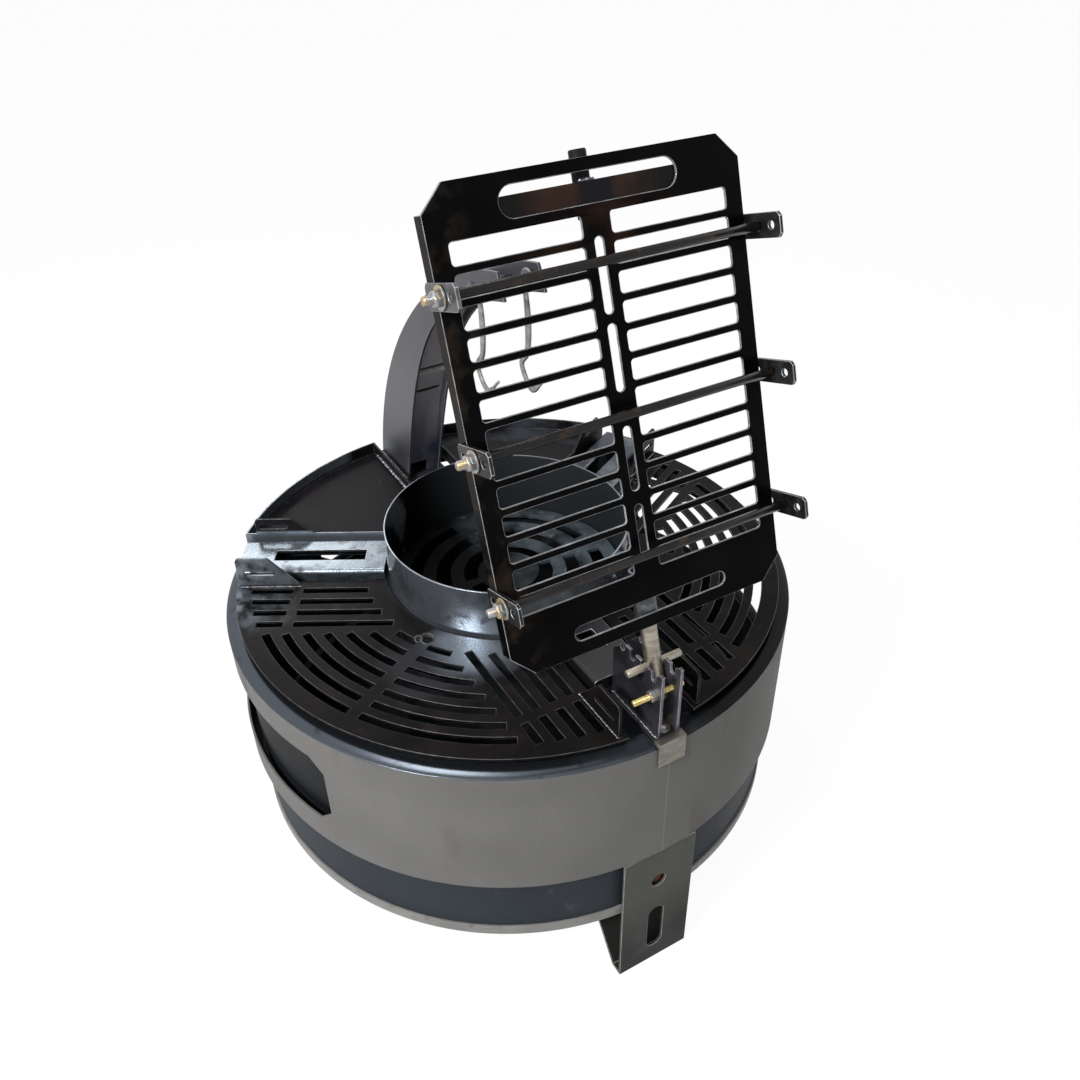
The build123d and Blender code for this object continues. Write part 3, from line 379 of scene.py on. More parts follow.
rim_paint_and_sheen = finish(
    "dark_rim_paint_and_painted_sheen",
    [(9, 9, 10), (14, 14, 15), (20, 20, 21)],
    grain=16, rough=(0.18, 0.28), specular=0.1, grit=(900, 0.00002),
    stains=[
        # painted reflection: the left half is a bright bluish metal that shines; the rest stays dark as
        # painted shade
        dict(colour=(82, 88, 95), grain=5, limits=(0.1, 0.4), rough=0.2, metal=0.85,
             where=[("X", 0.08, -0.12)]),
        dict(colour=(24, 24, 26), grain=50, limits=(0.62, 0.84)),
    ],
)
rim_outline = [(RIM_INNER, WALL_HIGH), (RIM_INNER, RIM_HIGH - RIM_EASE), (RIM_INNER + RIM_EASE, RIM_HIGH),
               *RIM_CROWN, (RIM_RADIUS, WALL_HIGH)]
put("rim_ring_plate", turned(rim_outline, steps=360), rim_paint_and_sheen, "stand", ["rim_ring"])

# Legs: three straps folded into a front plate, a narrow foot and a brace that runs up under the floor.
# Each is held by one bolt through a round hole, and a long slot below lightens it.
LEG_TURNS = {"leg_front": -90.0, "leg_left": 150.0, "leg_right": 30.0}
LEG_BOLT_HIGH = 0.176
HEAD_RADIUS = 0.009
HEAD_HIGH = 0.006


def sheet_copy(node, name, material, body, width=0.0006, edge=None):
    """A packed sheet with its doubles merged, its flat faces joined up and its edges eased.

    Where an edge finish is given, the eased strips take it.
    """
    mesh = frame["nodes"][node].data.copy()
    solid = bmesh.new()
    solid.from_mesh(mesh)
    bmesh.ops.remove_doubles(solid, verts=solid.verts, dist=MERGE_WITHIN)
    bmesh.ops.dissolve_limit(solid, angle_limit=math.radians(0.2), verts=solid.verts, edges=solid.edges)
    solid.to_mesh(mesh)
    solid.free()
    points = np.empty(3 * len(mesh.vertices), dtype=np.float32)
    mesh.vertices.foreach_get("co", points)
    corners = np.empty(len(mesh.loops), dtype=np.int32)
    mesh.loops.foreach_get("vertex_index", corners)
    starts = np.empty(len(mesh.polygons), dtype=np.int32)
    mesh.polygons.foreach_get("loop_start", starts)
    faces = [face.tolist() for face in np.split(corners, starts[1:])]
    bpy.data.meshes.remove(mesh)
    piece = put(name, (points, faces), material, body, [node])
    ease(piece, width)
    if edge:
        piece.data.materials.append(edge)
        piece.modifiers["eased_edges"].material = 1
    return piece


def tube_faces(rows, columns):
    """Faces of a tube of rings, with its two ends closed flat."""
    ends = [list(range(columns)), list(range((rows - 1) * columns, rows * columns))]
    return grid_faces(rows, columns, round_columns=True) + ends


def hexagon(radius, low, high, chamfer=0.12, steps=48):
    """Six-sided head of height z and turn t: r = a / cos(t mod 60 - 30), cut back at the top by a cone."""
    t = np.linspace(0, 2 * np.pi, steps, endpoint=False)
    flat = radius * math.cos(math.pi / 6) / np.cos((t + math.pi / 6) % (math.pi / 3) - math.pi / 6)
    rise = np.array([0.0, 1 - 2 * chamfer, 1 - chamfer, 1.0])
    limit = radius * np.array([1.0, 1.0, 0.95, 0.84])
    reach = np.minimum(flat[None, :], limit[:, None])
    height = low + (high - low) * rise
    points = np.stack([reach * np.cos(t), reach * np.sin(t), height[:, None] + 0 * reach], axis=-1)
    return points.reshape(-1, 3), tube_faces(len(rise), steps)


def placed(shape, origin, x_axis, z_axis):
    """A shape moved from its own axes to p = o + x X + y (Z x X) + z Z."""
    points, faces = shape
    x, z = np.asarray(x_axis, dtype=float), np.asarray(z_axis, dtype=float)
    return np.asarray(origin) + points @ np.array([x, np.cross(z, x), z]), faces


def together(*shapes):
    """Several shapes as the parts of one piece."""
    points, faces, start = [], [], 0
    for part_points, part_faces in shapes:
        points.append(part_points)
        faces += [[index + start for index in face] for face in part_faces]
        start += len(part_points)
    return np.concatenate(points), faces


leg_paint = finish(
    "leg_grey_paint",
    [(80, 80, 77), (87, 87, 83), (94, 94, 90)],
    grain=14, rough=(0.5, 0.65), specular=0.15, grit=(1500, 0.00012),
    stains=[
        dict(colour=(46, 47, 45), grain=14, limits=(0.1, 0.4), where=[("Z", 0.16, 0.06)]),
        dict(colour=(58, 57, 55), grain=1100, limits=(0.6, 0.72)),
        dict(colour=(54, 50, 46), grain=40, limits=(0.66, 0.85)),
    ],
)
worn_grey = finish(
    "worn_grey_edge",
    [(112, 109, 104), (140, 137, 132), (166, 163, 158)],
    grain=120, rough=(0.35, 0.5), grit=(1300, 0.0001),
)
rust = finish(
    "rusty_bolt",
    [(70, 40, 27), (104, 60, 38), (66, 48, 40)],
    grain=260, rough=(0.75, 0.95), specular=0.2, grit=(900, 0.0005),
    stains=[dict(colour=(150, 92, 52), grain=420, limits=(0.6, 0.78))],
)
head = hexagon(HEAD_RADIUS, 0.0, HEAD_HIGH)
bolt_heads = []
for leg, turn in LEG_TURNS.items():
    sheet_copy(leg, leg + "_strap", leg_paint, "stand", width=0.0008, edge=worn_grey)
    out_x, out_y = math.cos(math.radians(turn)), math.sin(math.radians(turn))
    seat = (DRUM_RADIUS * out_x, DRUM_RADIUS * out_y, LEG_BOLT_HIGH)
    bolt_heads.append(placed(head, seat, (-out_y, out_x, 0.0), (out_x, out_y, 0.0)))
leg_bolts = put("leg_bolt_heads", together(*bolt_heads), rust, "stand", ["leg_bolts"])
ease(leg_bolts, width=0.0003, segments=1)

# Fire cylinder: a rolled tube in the middle, open at the top, blackened by heat with a bluish sheen.
# A flat ring welded round it carries the grill plates, and one inside carries the loose slotted grate, which
# is black, lighter at the right with painted light and painted highlights.
FIRE_RADIUS = 0.172
FIRE_BORE = 0.169
FIRE_LOW = 0.131
FIRE_HIGH = 0.527
LEDGE_SHEET = 0.004
PLATE_LEDGE_OUTER = 0.190
PLATE_LEDGE_HIGH = 0.450
GRATE_LEDGE_INNER = 0.151
GRATE_LEDGE_HIGH = 0.428

fired_black = finish(
    "fired_black_steel",
    [(138, 146, 156), (160, 168, 177), (180, 187, 194)],
    grain=9, rough=(0.16, 0.26), metal=0.85, stretch=(1, 1, 0.4), grit=(300, 0.000002),
    stains=[
        dict(colour=(60, 66, 74), grain=14, limits=(0.5, 0.8)),
        dict(colour=(72, 60, 54), grain=40, limits=(0.66, 0.85)),
        # Inside: soot made darker still and without gloss, as painted shade; the next stain lightens its
        # right part as painted light
        dict(colour=(12, 12, 13), grain=14, limits=(0.1, 0.4), rough=0.6, metal=1.0,
             where=[("outward", 0.1706, 0.1698)]),
        dict(colour=(24, 29, 34), grain=14, limits=(0.1, 0.4), rough=0.55, metal=0.0,
             where=[("outward", 0.1706, 0.1698), ("X", -0.07, 0.03)]),
    ],
)
soot = finish(
    "sooty_iron",
    [(14, 15, 16), (24, 26, 28), (40, 42, 45)],
    grain=30, rough=(0.45, 0.7), specular=0.12, grit=(500, 0.0004),
    stains=[dict(colour=(96, 96, 94), grain=70, limits=(0.62, 0.85))],
)
grate_iron = finish(
    "grate_iron_painted_light",
    [(6, 6, 7), (10, 11, 12), (16, 17, 19)],
    grain=30, rough=(0.4, 0.6), specular=0.06, grit=(500, 0.0003),
    stains=[
        # painted light: the right part of the grate is lighter and bluish, with painted highlights on its
        # bars
        dict(colour=(84, 94, 100), grain=24, limits=(0.3, 0.6), rough=0.4, where=[("X", -0.03, 0.06)]),
        dict(colour=(140, 146, 148), grain=60, limits=(0.6, 0.8), where=[("X", -0.03, 0.04)]),
    ],
)
fire_tube = ring(FIRE_RADIUS, FIRE_BORE, FIRE_LOW, FIRE_HIGH, edge=0.0009, steps=160)
put("fire_tube", fire_tube, fired_black, "stand", ["fire_cylinder"])
for name, outer, inner, high in (("plate_ledge", PLATE_LEDGE_OUTER, FIRE_RADIUS, PLATE_LEDGE_HIGH),
                                 ("grate_ledge", FIRE_BORE, GRATE_LEDGE_INNER, GRATE_LEDGE_HIGH)):
    ledge = ring(outer, inner, high - LEDGE_SHEET, high, edge=0.0006, steps=120)
    put(name + "_ring", ledge, soot, "stand", [name])
sheet_copy("fire_grate", "fire_grate_disc", grate_iron, "fire_grate", width=0.0008)

# Rails: three folded channels from the fire tube out to the rim, slotted along the top.
# They are left as bright mill steel, smeared with soot and grease; the front one and the right one are
# darker.
greased_steel = finish(
    "greased_mill_steel",
    [(104, 112, 120), (134, 143, 151), (164, 172, 178)],
    grain=26, rough=(0.18, 0.36), metal=0.9, stretch=(1, 1, 3), grit=(700, 0.00015),
    stains=[
        dict(colour=(34, 35, 38), grain=30, limits=(0.56, 0.76), rough=0.45, metal=0.4),
        dict(colour=(64, 46, 34), grain=80, limits=(0.68, 0.86), rough=0.6, metal=0.2),
        dict(colour=(24, 23, 26), grain=12, limits=(0.08, 0.3), rough=0.34, metal=0.15,
             where=[("Y", -0.13, -0.18)]),
        dict(colour=(70, 74, 82), grain=22, limits=(0.2, 0.5), rough=0.34, where=[("X", 0.1, 0.16)]),
    ],
)
bright_edge = finish(
    "bright_cut_edge",
    [(120, 122, 124), (160, 162, 164), (190, 192, 194)],
    grain=90, rough=(0.25, 0.4), metal=0.9,
    stains=[dict(colour=(70, 62, 56), grain=70, limits=(0.58, 0.8), rough=0.5, metal=0.4)],
)
for rail in ("rail_front", "rail_left", "rail_right"):
    sheet_copy(rail, rail + "_channel", greased_steel, "stand", width=0.0008, edge=bright_edge)

# Grill plates: two ring segments of thick plate with straight slots beside the rails and curved ones between.
# They are seasoned with burnt oil, almost black, and lift out by two slotted tabs each.
# A curl of metal is left standing at the lifting hole.
PLATE_HIGH = 0.454
TAB_RUN = (0.288, 0.375)
TAB_SIDE = 0.0583
TAB_BEAD = 0.0011
LIFT_HOLE_OUT = 0.202
CURL_WIRE = 0.0012
# Turn of each plate's middle, then for both tabs the turn of the rail and the side of it.
PLATES = {"left": (210.0, ((-90.0, -1), (150.0, 1))), "right": (330.0, ((-90.0, 1), (30.0, -1)))}
# Radius of each loop, where its centre lies from the hole, and its axis.
CURL_LOOPS = ((0.0088, (0.0, 0.0, 0.0010), (0.1, -0.2, 0.97)),
              (0.0048, (-0.0105, 0.0042, 0.0022), (0.2, -0.4, 0.89)))

oiled_plate = finish(
    "oiled_grill_plate",
    [(17, 15, 15), (24, 21, 21), (34, 30, 29)],
    grain=13, rough=(0.24, 0.4), specular=0.05, grit=(260, 0.000004),
    stains=[
        dict(colour=(54, 46, 41), grain=30, limits=(0.6, 0.9)),
        dict(colour=(9, 8, 8), grain=20, limits=(0.55, 0.8), rough=0.22),
        # painted reflection: bright metal patches beside the fire tube, placed to mirror the left lamp onto
        # it
        dict(colour=(50, 51, 54), grain=9, limits=(0.08, 0.3), rough=0.14, metal=1.0,
             where=[("X", -0.26, -0.23), ("X", -0.09, -0.115), ("Y", -0.215, -0.19), ("Y", -0.085, -0.11)]),
        dict(colour=(126, 131, 137), grain=9, limits=(0.12, 0.36), rough=0.2, metal=0.75,
             where=[("outward", 0.272, 0.23), ("X", -0.2, -0.16), ("X", -0.085, -0.105),
                    ("Y", -0.215, -0.18), ("Y", -0.085, -0.11)]),
        # painted reflection: bright bluish metal on the tab beside the left rail and the plate around it, as
        # glare
        dict(colour=(74, 80, 86), grain=44, limits=(0.4, 0.58), rough=0.28, metal=0.7,
             where=[("outward", 0.3, 0.325), ("Y", 0.02, 0.07), ("X", -0.2, -0.24)]),
        dict(colour=(124, 132, 138), grain=50, limits=(0.3, 0.55), rough=0.3, metal=0.55,
             where=[("Z", 0.4556, 0.459), ("X", -0.2, -0.24)]),
    ],
)
seasoned_edge = finish(
    "seasoned_edge",
    [(40, 38, 38), (62, 60, 60), (92, 90, 90)],
    grain=60, rough=(0.2, 0.34), grit=(600, 0.0002),
)
weld_steel = finish(
    "bright_weld",
    [(96, 96, 100), (136, 137, 141), (172, 173, 176)],
    grain=220, rough=(0.25, 0.42), metal=0.85, grit=(900, 0.0002),
    stains=[dict(colour=(52, 48, 48), grain=120, limits=(0.56, 0.74), rough=0.5, metal=0.4)],
)


def weld(start, end, radius, pitch=0.004, rows_per_ripple=8, sides=10):
    """Weld bead from one point to another, wandering a little: r = R (0.75 + 0.4 |sin(pi s / pitch)|)."""
    start, end = np.asarray(start, dtype=float), np.asarray(end, dtype=float)
    length = np.linalg.norm(end - start)
    run = (end - start) / length
    askew = (0.31, 0.52, 0.79)  # no weld runs this way
    side = np.cross(run, askew)
    side /= np.linalg.norm(side)
    over = np.cross(run, side)
    s = np.linspace(0, length, int(length / pitch * rows_per_ripple) + 2)[:, None]
    a = np.linspace(0, 2 * np.pi, sides, endpoint=False)[None, :]
    taper = np.clip(np.minimum(s, length - s) / radius, 0.15, 1)
    r = radius * taper * (0.75 + 0.4 * np.abs(np.sin(np.pi * s / pitch))) + 0 * a
    spoke = side * np.cos(a)[..., None] + over * np.sin(a)[..., None]
    wander = side * (0.3 * radius * np.sin(s * 733 + np.sin(s * 311)))[..., None]
    points = start + run * s[..., None] + spoke * r[..., None] + wander
    return points.reshape(-1, 3), tube_faces(*r.shape)


around = np.linspace(0, 2 * np.pi, 10, endpoint=False)
curl_wire = np.stack([np.cos(around), np.sin(around)], axis=-1) * CURL_WIRE
for side, (middle, tabs) in PLATES.items():
    body = "grill_plate_" + side
    sheet_copy(body, "slotted_plate_" + side, oiled_plate, body, edge=seasoned_edge)
    tab_welds = []
    for rail_turn, away in tabs:
        turn = math.radians(rail_turn)
        outward = np.array([math.cos(turn), math.sin(turn), 0.0])
        beside = np.array([-math.sin(turn), math.cos(turn), 0.0]) * away
        foot = beside * TAB_SIDE + np.array([0, 0, PLATE_HIGH])
        tab_welds.append(weld(outward * TAB_RUN[0] + foot, outward * TAB_RUN[1] + foot, TAB_BEAD))
    put(f"plate_{side}_tab_welds", together(*tab_welds), weld_steel, body)
    turn = math.radians(middle)
    hole = np.array([math.cos(turn) * LIFT_HOLE_OUT, math.sin(turn) * LIFT_HOLE_OUT, PLATE_HIGH])
    curl = [turned(curl_wire + (reach, 0.0), steps=28, centre=hole + np.array(shift), axis=tilt)
            for reach, shift, tilt in CURL_LOOPS]
    put(f"lifting_curl_{side}", together(*curl), seasoned_edge, body)

# Trays: two shallow pans behind the fire, folded from sheet and baked black, with an upturned edge beside
# rail and arm. One lifting tab each stands beside the rail, and a weld runs along the fold beside the arm.
SIDES = {"left": -1, "right": 1}
TRAY_SIDE = 0.0503
TRAY_RUN = (0.205, 0.372)
TRAY_FOLD = 0.4575
TRAY_BEAD = 0.0026
TRAY_BEAD_PITCH = 0.011


def level_weld(x, run, z, radius, pitch=0.004):
    """Weld bead along y, between the two ends of a run."""
    return weld((x, run[0], z), (x, run[1], z), radius, pitch)


tray_black = finish(
    "baked_tray_black",
    [(20, 17, 20), (26, 23, 26), (34, 31, 34)],
    grain=16, rough=(0.34, 0.5), specular=0.07, grit=(500, 0.0002),
    stains=[
        dict(colour=(92, 88, 86), grain=120, limits=(0.68, 0.85)),
        # painted reflection: bright bluish metal at the right tray's outer end and on the left tray's wall by
        # the rail
        dict(colour=(104, 112, 120), grain=14, limits=(0.4, 0.6), rough=0.3, metal=0.7,
             where=[("outward", 0.34, 0.38), ("X", 0.02, 0.1)]),
        dict(colour=(136, 145, 152), grain=40, limits=(0.2, 0.45), rough=0.3, metal=0.75,
             where=[("X", -0.09, -0.12), ("Z", 0.4555, 0.458), ("Z", 0.478, 0.474)]),
    ],
)
for side, sign in SIDES.items():
    body = "tray_" + side
    sheet_copy(body, "tray_pan_" + side, tray_black, body, edge=seasoned_edge)
    bead = level_weld(sign * TRAY_SIDE, TRAY_RUN, TRAY_FOLD, TRAY_BEAD, TRAY_BEAD_PITCH)
    put(f"tray_{side}_weld", bead, weld_steel, body)

# Bracket: a flat bar from under the front rail to a bright lip over the rim, with two notched cheeks on it.
# A bolt holds it to the rim, and a yellow stud with two nuts stops the foot of the shaft.
PIN = np.array([0.0, -0.357, 0.530])
LEAN = math.radians(18.0)
UP_RACK = np.array([0.0, math.sin(LEAN), math.cos(LEAN)])
OUT_OF_RACK = np.array([0.0, -math.cos(LEAN), math.sin(LEAN)])
ALONG_X = np.array([1.0, 0.0, 0.0])
CHEEK_SIDE = 0.0158
CHEEK_RUN = (-0.298, -0.392)
CHEEK_FOOT = 0.4463
CHEEK_BEAD = 0.0014
RIM_BOLT_OUT = 0.3785
RIM_BOLT_LOW = 0.430
RIM_BOLT_RADIUS = 0.005
BRACKET_BAR_HIGH = 0.446
WASHER_OUTER = 0.0112
WASHER_INNER = 0.0054
WASHER_SHEET = 0.0013
STUD_DOWN = 0.030
STUD_OUT = 0.0144
STUD_AT = PIN - UP_RACK * STUD_DOWN + OUT_OF_RACK * STUD_OUT
STUD_RUN = (-0.044, 0.026)
M8_RADIUS = 0.004
M8_PITCH = 0.00125
M8_NUT_RADIUS = 0.0075
M8_NUT_HIGH = 0.0065
STOP_NUT_SIDE = 0.015


def rod(radius, start, end, along, across, chamfer=0.0008, steps=32):
    """Round bar with chamfered ends from one point of its axis to another."""
    outline = [(radius - chamfer, start), (radius, start + chamfer), (radius, end - chamfer),
               (radius - chamfer, end)]
    return turned(outline, steps, axis=along, start=across, looped=False)


def thread(radius, pitch, start, end, along, across, rows_per_turn=8, steps=28):
    """Screw thread of turn t and height h: r = R - d |2 frac(h / pitch - t / 2 pi) - 1|, d = 0.6 pitch."""
    rows = int(round((end - start) / pitch * rows_per_turn)) + 1
    h = np.linspace(start, end, rows)[:, None]
    t = np.linspace(0, 2 * np.pi, steps, endpoint=False)[None, :]
    wave = np.abs(2 * ((h / pitch - t / (2 * np.pi)) % 1.0) - 1)
    fade = np.clip(np.minimum(h - start, end - h) / pitch, 0, 1)
    r = radius - 0.6 * pitch * np.maximum(wave * fade, 1 - fade)
    across = np.asarray(across, dtype=float)
    spoke = across * np.cos(t)[..., None] + np.cross(along, across) * np.sin(t)[..., None]
    points = np.asarray(along) * h[..., None] + spoke * r[..., None]
    return points.reshape(-1, 3), tube_faces(rows, steps)


def shifted(shape, offset):
    """A shape moved by an offset."""
    return shape[0] + np.asarray(offset), shape[1]


def rim_bolt(x, y, seat):
    """Hexagon bolt through the rim, its head on a seat of that height."""
    head = hexagon(HEAD_RADIUS, seat, seat + HEAD_HIGH)
    shank = rod(RIM_BOLT_RADIUS, RIM_BOLT_LOW, seat, (0, 0, 1), ALONG_X)
    return shifted(together(head, shank), (x, y, 0))


dull_steel = finish(
    "dull_steel",
    [(70, 74, 80), (98, 102, 108), (126, 130, 136)],
    grain=34, rough=(0.25, 0.45), metal=0.95, stretch=(1, 1, 5), grit=(800, 0.0001),
    stains=[
        dict(colour=(30, 30, 33), grain=40, limits=(0.5, 0.74), rough=0.5, metal=0.4),
        dict(colour=(84, 60, 44), grain=80, limits=(0.66, 0.84), rough=0.65, metal=0.2),
    ],
)
bracket_bar = finish(
    "bracket_bar",
    [(104, 100, 92), (122, 118, 110), (144, 140, 131)],
    grain=60, rough=(0.32, 0.5), metal=0.7, specular=0.4, stretch=(1, 1, 4), grit=(800, 0.00012),
    stains=[
        dict(colour=(44, 44, 47), grain=9, limits=(0.05, 0.2), rough=0.36, metal=0.4,
             where=[("outward", 0.397, 0.392)]),
        dict(colour=(78, 70, 62), grain=70, limits=(0.6, 0.8), rough=0.5, metal=0.4),
    ],
)
lilac_steel = finish(
    "lilac_cheek_steel",
    [(74, 72, 80), (94, 92, 101), (118, 116, 124)],
    grain=22, rough=(0.2, 0.36), metal=0.7, grit=(800, 0.0001),
    stains=[
        dict(colour=(36, 35, 40), grain=30, limits=(0.56, 0.78), rough=0.4, metal=0.5),
        dict(colour=(86, 66, 54), grain=80, limits=(0.7, 0.86), rough=0.6, metal=0.2),
    ],
)
pale_bar = finish(
    "pale_round_bar",
    [(136, 128, 116), (158, 150, 138), (180, 173, 162)],
    grain=46, rough=(0.28, 0.44), metal=0.85, stretch=(1, 1, 5),
    stains=[
        dict(colour=(72, 70, 70), grain=50, limits=(0.6, 0.8), rough=0.45, metal=0.6),
        dict(colour=(120, 92, 68), grain=90, limits=(0.68, 0.86), rough=0.6, metal=0.3),
    ],
)
yellow_zinc = finish(
    "yellow_zinc",
    [(190, 166, 104), (208, 190, 134), (220, 207, 164)],
    grain=220, rough=(0.25, 0.4), metal=1.0, grit=(900, 0.00008),
    stains=[dict(colour=(120, 92, 60), grain=300, limits=(0.62, 0.8), rough=0.5)],
)
galvanised = finish(
    "galvanised_steel",
    [(138, 140, 142), (164, 166, 168), (188, 190, 191)],
    grain=160, rough=(0.3, 0.5), metal=0.95,
    stains=[
        dict(colour=(96, 96, 98), grain=70, limits=(0.6, 0.8), rough=0.55, metal=0.7),
        dict(colour=(186, 164, 122), grain=110, limits=(0.46, 0.6)),
    ],
)
sheet_copy("bracket_base", "bracket_foot_bar", bracket_bar, "stand", width=0.0008)
for side, sign in SIDES.items():
    sheet_copy("bracket_cheek_" + side, "notched_cheek_" + side, lilac_steel, "stand",
               width=0.0005, edge=bright_edge)
    bead = level_weld(sign * CHEEK_SIDE, CHEEK_RUN, CHEEK_FOOT, CHEEK_BEAD)
    put(f"cheek_{side}_weld", bead, weld_steel, "stand")
washer_high = BRACKET_BAR_HIGH + WASHER_SHEET
washer = ring(WASHER_OUTER, WASHER_INNER, BRACKET_BAR_HIGH, washer_high, edge=0.0003, steps=40)
bracket_bolt = together(rim_bolt(0, -RIM_BOLT_OUT, BRACKET_BAR_HIGH), shifted(washer, (0, -RIM_BOLT_OUT, 0)))
put("bracket_bolt_m10", bracket_bolt, galvanised, "stand", ["bracket_bolt"])
stud = thread(M8_RADIUS, M8_PITCH, *STUD_RUN, ALONG_X, (0, 1, 0))
put("stop_stud_thread", shifted(stud, STUD_AT), yellow_zinc, "stand", ["stop_stud"])
m8_nut = hexagon(M8_NUT_RADIUS, 0.0, M8_NUT_HIGH)
nut_pair = [placed(m8_nut, STUD_AT + ALONG_X * STOP_NUT_SIDE * sign, (0, 1, 0), ALONG_X * sign)
            for sign in SIDES.values()]
stop_nuts = put("stop_stud_nuts", together(*nut_pair), galvanised, "stand", ["stop_nuts"])
ease(stop_nuts, width=0.0002, segments=1)

# Shaft: a bright round bar that stands in the bracket on a loose cross pin and leans over the fire.
# The rack's sleeve turns on it, locked by a brass set screw with a nut.
SHAFT_RADIUS = 0.010
SHAFT_RUN = (-0.045, 0.108)
PIN_RADIUS = 0.005
PIN_HALF = 0.038
SCREW_UP = 0.086
SCREW_AT = PIN + UP_RACK * SCREW_UP
SCREW_RUN = (-0.036, -0.0104)
SCREW_NUT_OUT = 0.0135

brass = finish(
    "brass_screw",
    [(150, 110, 60), (184, 144, 84), (204, 168, 110)],
    grain=200, rough=(0.25, 0.4), metal=1.0, grit=(900, 0.00008),
    stains=[dict(colour=(88, 60, 36), grain=260, limits=(0.6, 0.8), rough=0.55)],
)
shaft_bar = rod(SHAFT_RADIUS, *SHAFT_RUN, UP_RACK, ALONG_X, chamfer=0.0015, steps=48)
put("shaft_bar", shifted(shaft_bar, PIN), pale_bar, "post", ["shaft"])
pin_bar = rod(PIN_RADIUS, -PIN_HALF, PIN_HALF, ALONG_X, (0, 1, 0), chamfer=0.0012)
put("cross_pin_bar", shifted(pin_bar, PIN), pale_bar, "post", ["cross_pin"])
screw = shifted(thread(M8_RADIUS, M8_PITCH, *SCREW_RUN, ALONG_X, (0, 1, 0)), SCREW_AT)
screw_nut = placed(m8_nut, SCREW_AT - ALONG_X * SCREW_NUT_OUT, (0, 1, 0), -ALONG_X)
put("set_screw_and_nut", together(screw, screw_nut), brass, "rack", ["set_screw"])

# Rack: one laser-cut sheet, enamelled black, with a handle slot at each end, two ladders and a slotted spine.
# Its sides are folded back, a bar behind the upper handle carries a stub, and a sleeve is welded on below.
CUT_OUT_HALF = 0.17
# Radius and way up the rack.
STUB_OUTLINE = [(0.0078, 0.495), (0.009, 0.4962), (0.009, 0.5595), (0.0078, 0.561)]
# At the stub and at the sleeve: the way up the rack and out of it, half the length, and the bead.
RACK_WELDS = ((0.5318, 0.0092, 0.0095, 0.0018), (0.1188, 0.0118, 0.0125, 0.0016))

black_gloss = finish(
    "black_gloss_enamel",
    [(6, 6, 6), (9, 9, 10), (14, 14, 15)],
    grain=18, rough=(0.14, 0.28), specular=0.03, grit=(500, 0.00012),
    stains=[
        dict(colour=(50, 42, 34), grain=34, limits=(0.5, 0.7), rough=0.6, where=[("X", -0.13, -0.165)]),
        dict(colour=(50, 33, 25), grain=22, limits=(0.42, 0.66), rough=0.55,
             where=[("X", -0.11, -0.05), ("X", 0.11, 0.05), ("Z", 0.965, 0.985), ("Z", 1.03, 1.012)]),
        dict(colour=(26, 24, 24), grain=60, limits=(0.68, 0.86)),
    ],
)
# Cut edges: glossy bare steel, made light grey as a painted highlight along every edge
gloss_edge = finish(
    "enamel_cut_edge_and_highlight",
    [(80, 80, 84), (128, 129, 134), (178, 180, 186)],
    grain=50, rough=(0.1, 0.18), specular=0.9, grit=(600, 0.00005),
)
heat_brown = finish(
    "heat_stained_bar",
    [(34, 22, 18), (50, 34, 27), (68, 48, 38)],
    grain=30, rough=(0.35, 0.55), specular=0.12, stretch=(0.4, 1, 1), grit=(600, 0.0002),
    stains=[
        dict(colour=(24, 20, 19), grain=26, limits=(0.5, 0.75)),
        dict(colour=(12, 11, 12), grain=12, limits=(0.15, 0.4), where=[("X", 0.05, 0.085)]),
        dict(colour=(12, 11, 12), grain=12, limits=(0.15, 0.4), where=[("X", -0.05, -0.085)]),
        dict(colour=(18, 15, 22), grain=30, limits=(0.2, 0.42), rough=0.34,
             where=[("X", -0.02, -0.01), ("X", 0.034, 0.022)]),
    ],
)
rack_sheet = sheet_copy("rack_frame", "rack_sheet", black_gloss, "rack", width=0.0008,
                        edge=gloss_edge)
# The walls of the cut-outs, between the folded sides, take the edge finish and its painted highlight too.
rack_faces = rack_sheet.data.polygons
facing = np.empty(3 * len(rack_faces))
rack_faces.foreach_get("normal", facing)
middle = np.empty_like(facing)
rack_faces.foreach_get("center", middle)
edge_on = np.abs(facing.reshape(-1, 3) @ OUT_OF_RACK) < 0.5
cut_walls = edge_on & (np.abs(middle[0::3]) < CUT_OUT_HALF)
rack_faces.foreach_set("material_index", cut_walls.astype(np.int32))
sheet_copy("rack_crossbar", "rack_handle_bar", heat_brown, "rack", width=0.0008)
sheet_copy("rack_sleeve", "rack_sleeve_tube", dull_steel, "rack")
stub = turned(STUB_OUTLINE, steps=40, centre=PIN, axis=UP_RACK, start=ALONG_X, looped=False)
put("rack_stub_bar", stub, soot, "rack", ["rack_stub"])
rack_welds = []
for up, out, half, bead in RACK_WELDS:
    foot = PIN + UP_RACK * up + OUT_OF_RACK * out
    rack_welds.append(weld(foot - ALONG_X * half, foot + ALONG_X * half, bead))
put("rack_welds", together(*rack_welds), weld_steel, "rack")

# Clamps: three round bars across the rack's face, each through two side plates.
# A flange nut on the threaded end squeezes the plates on to the rack's sides, and spare holes take skewers.
CLAMP_HEIGHTS = {"bottom": 0.148, "middle": 0.302, "top": 0.456}
ROD_OUT = 0.038
ROD_RADIUS = 0.005
ROD_RUN = (-0.184, 0.1844)
THREAD_END = -0.203
THREAD_PITCH = 0.0015
NUT_SEAT = 0.1848
# Radius and height above the seat.
FLANGE_OUTLINE = [(0.0052, 0.0), (0.012, 0.0), (0.0118, 0.002), (0.0052, 0.002)]
FLANGE_NUT_RADIUS = 0.0085
FLANGE_NUT_RUN = (0.0018, 0.009)

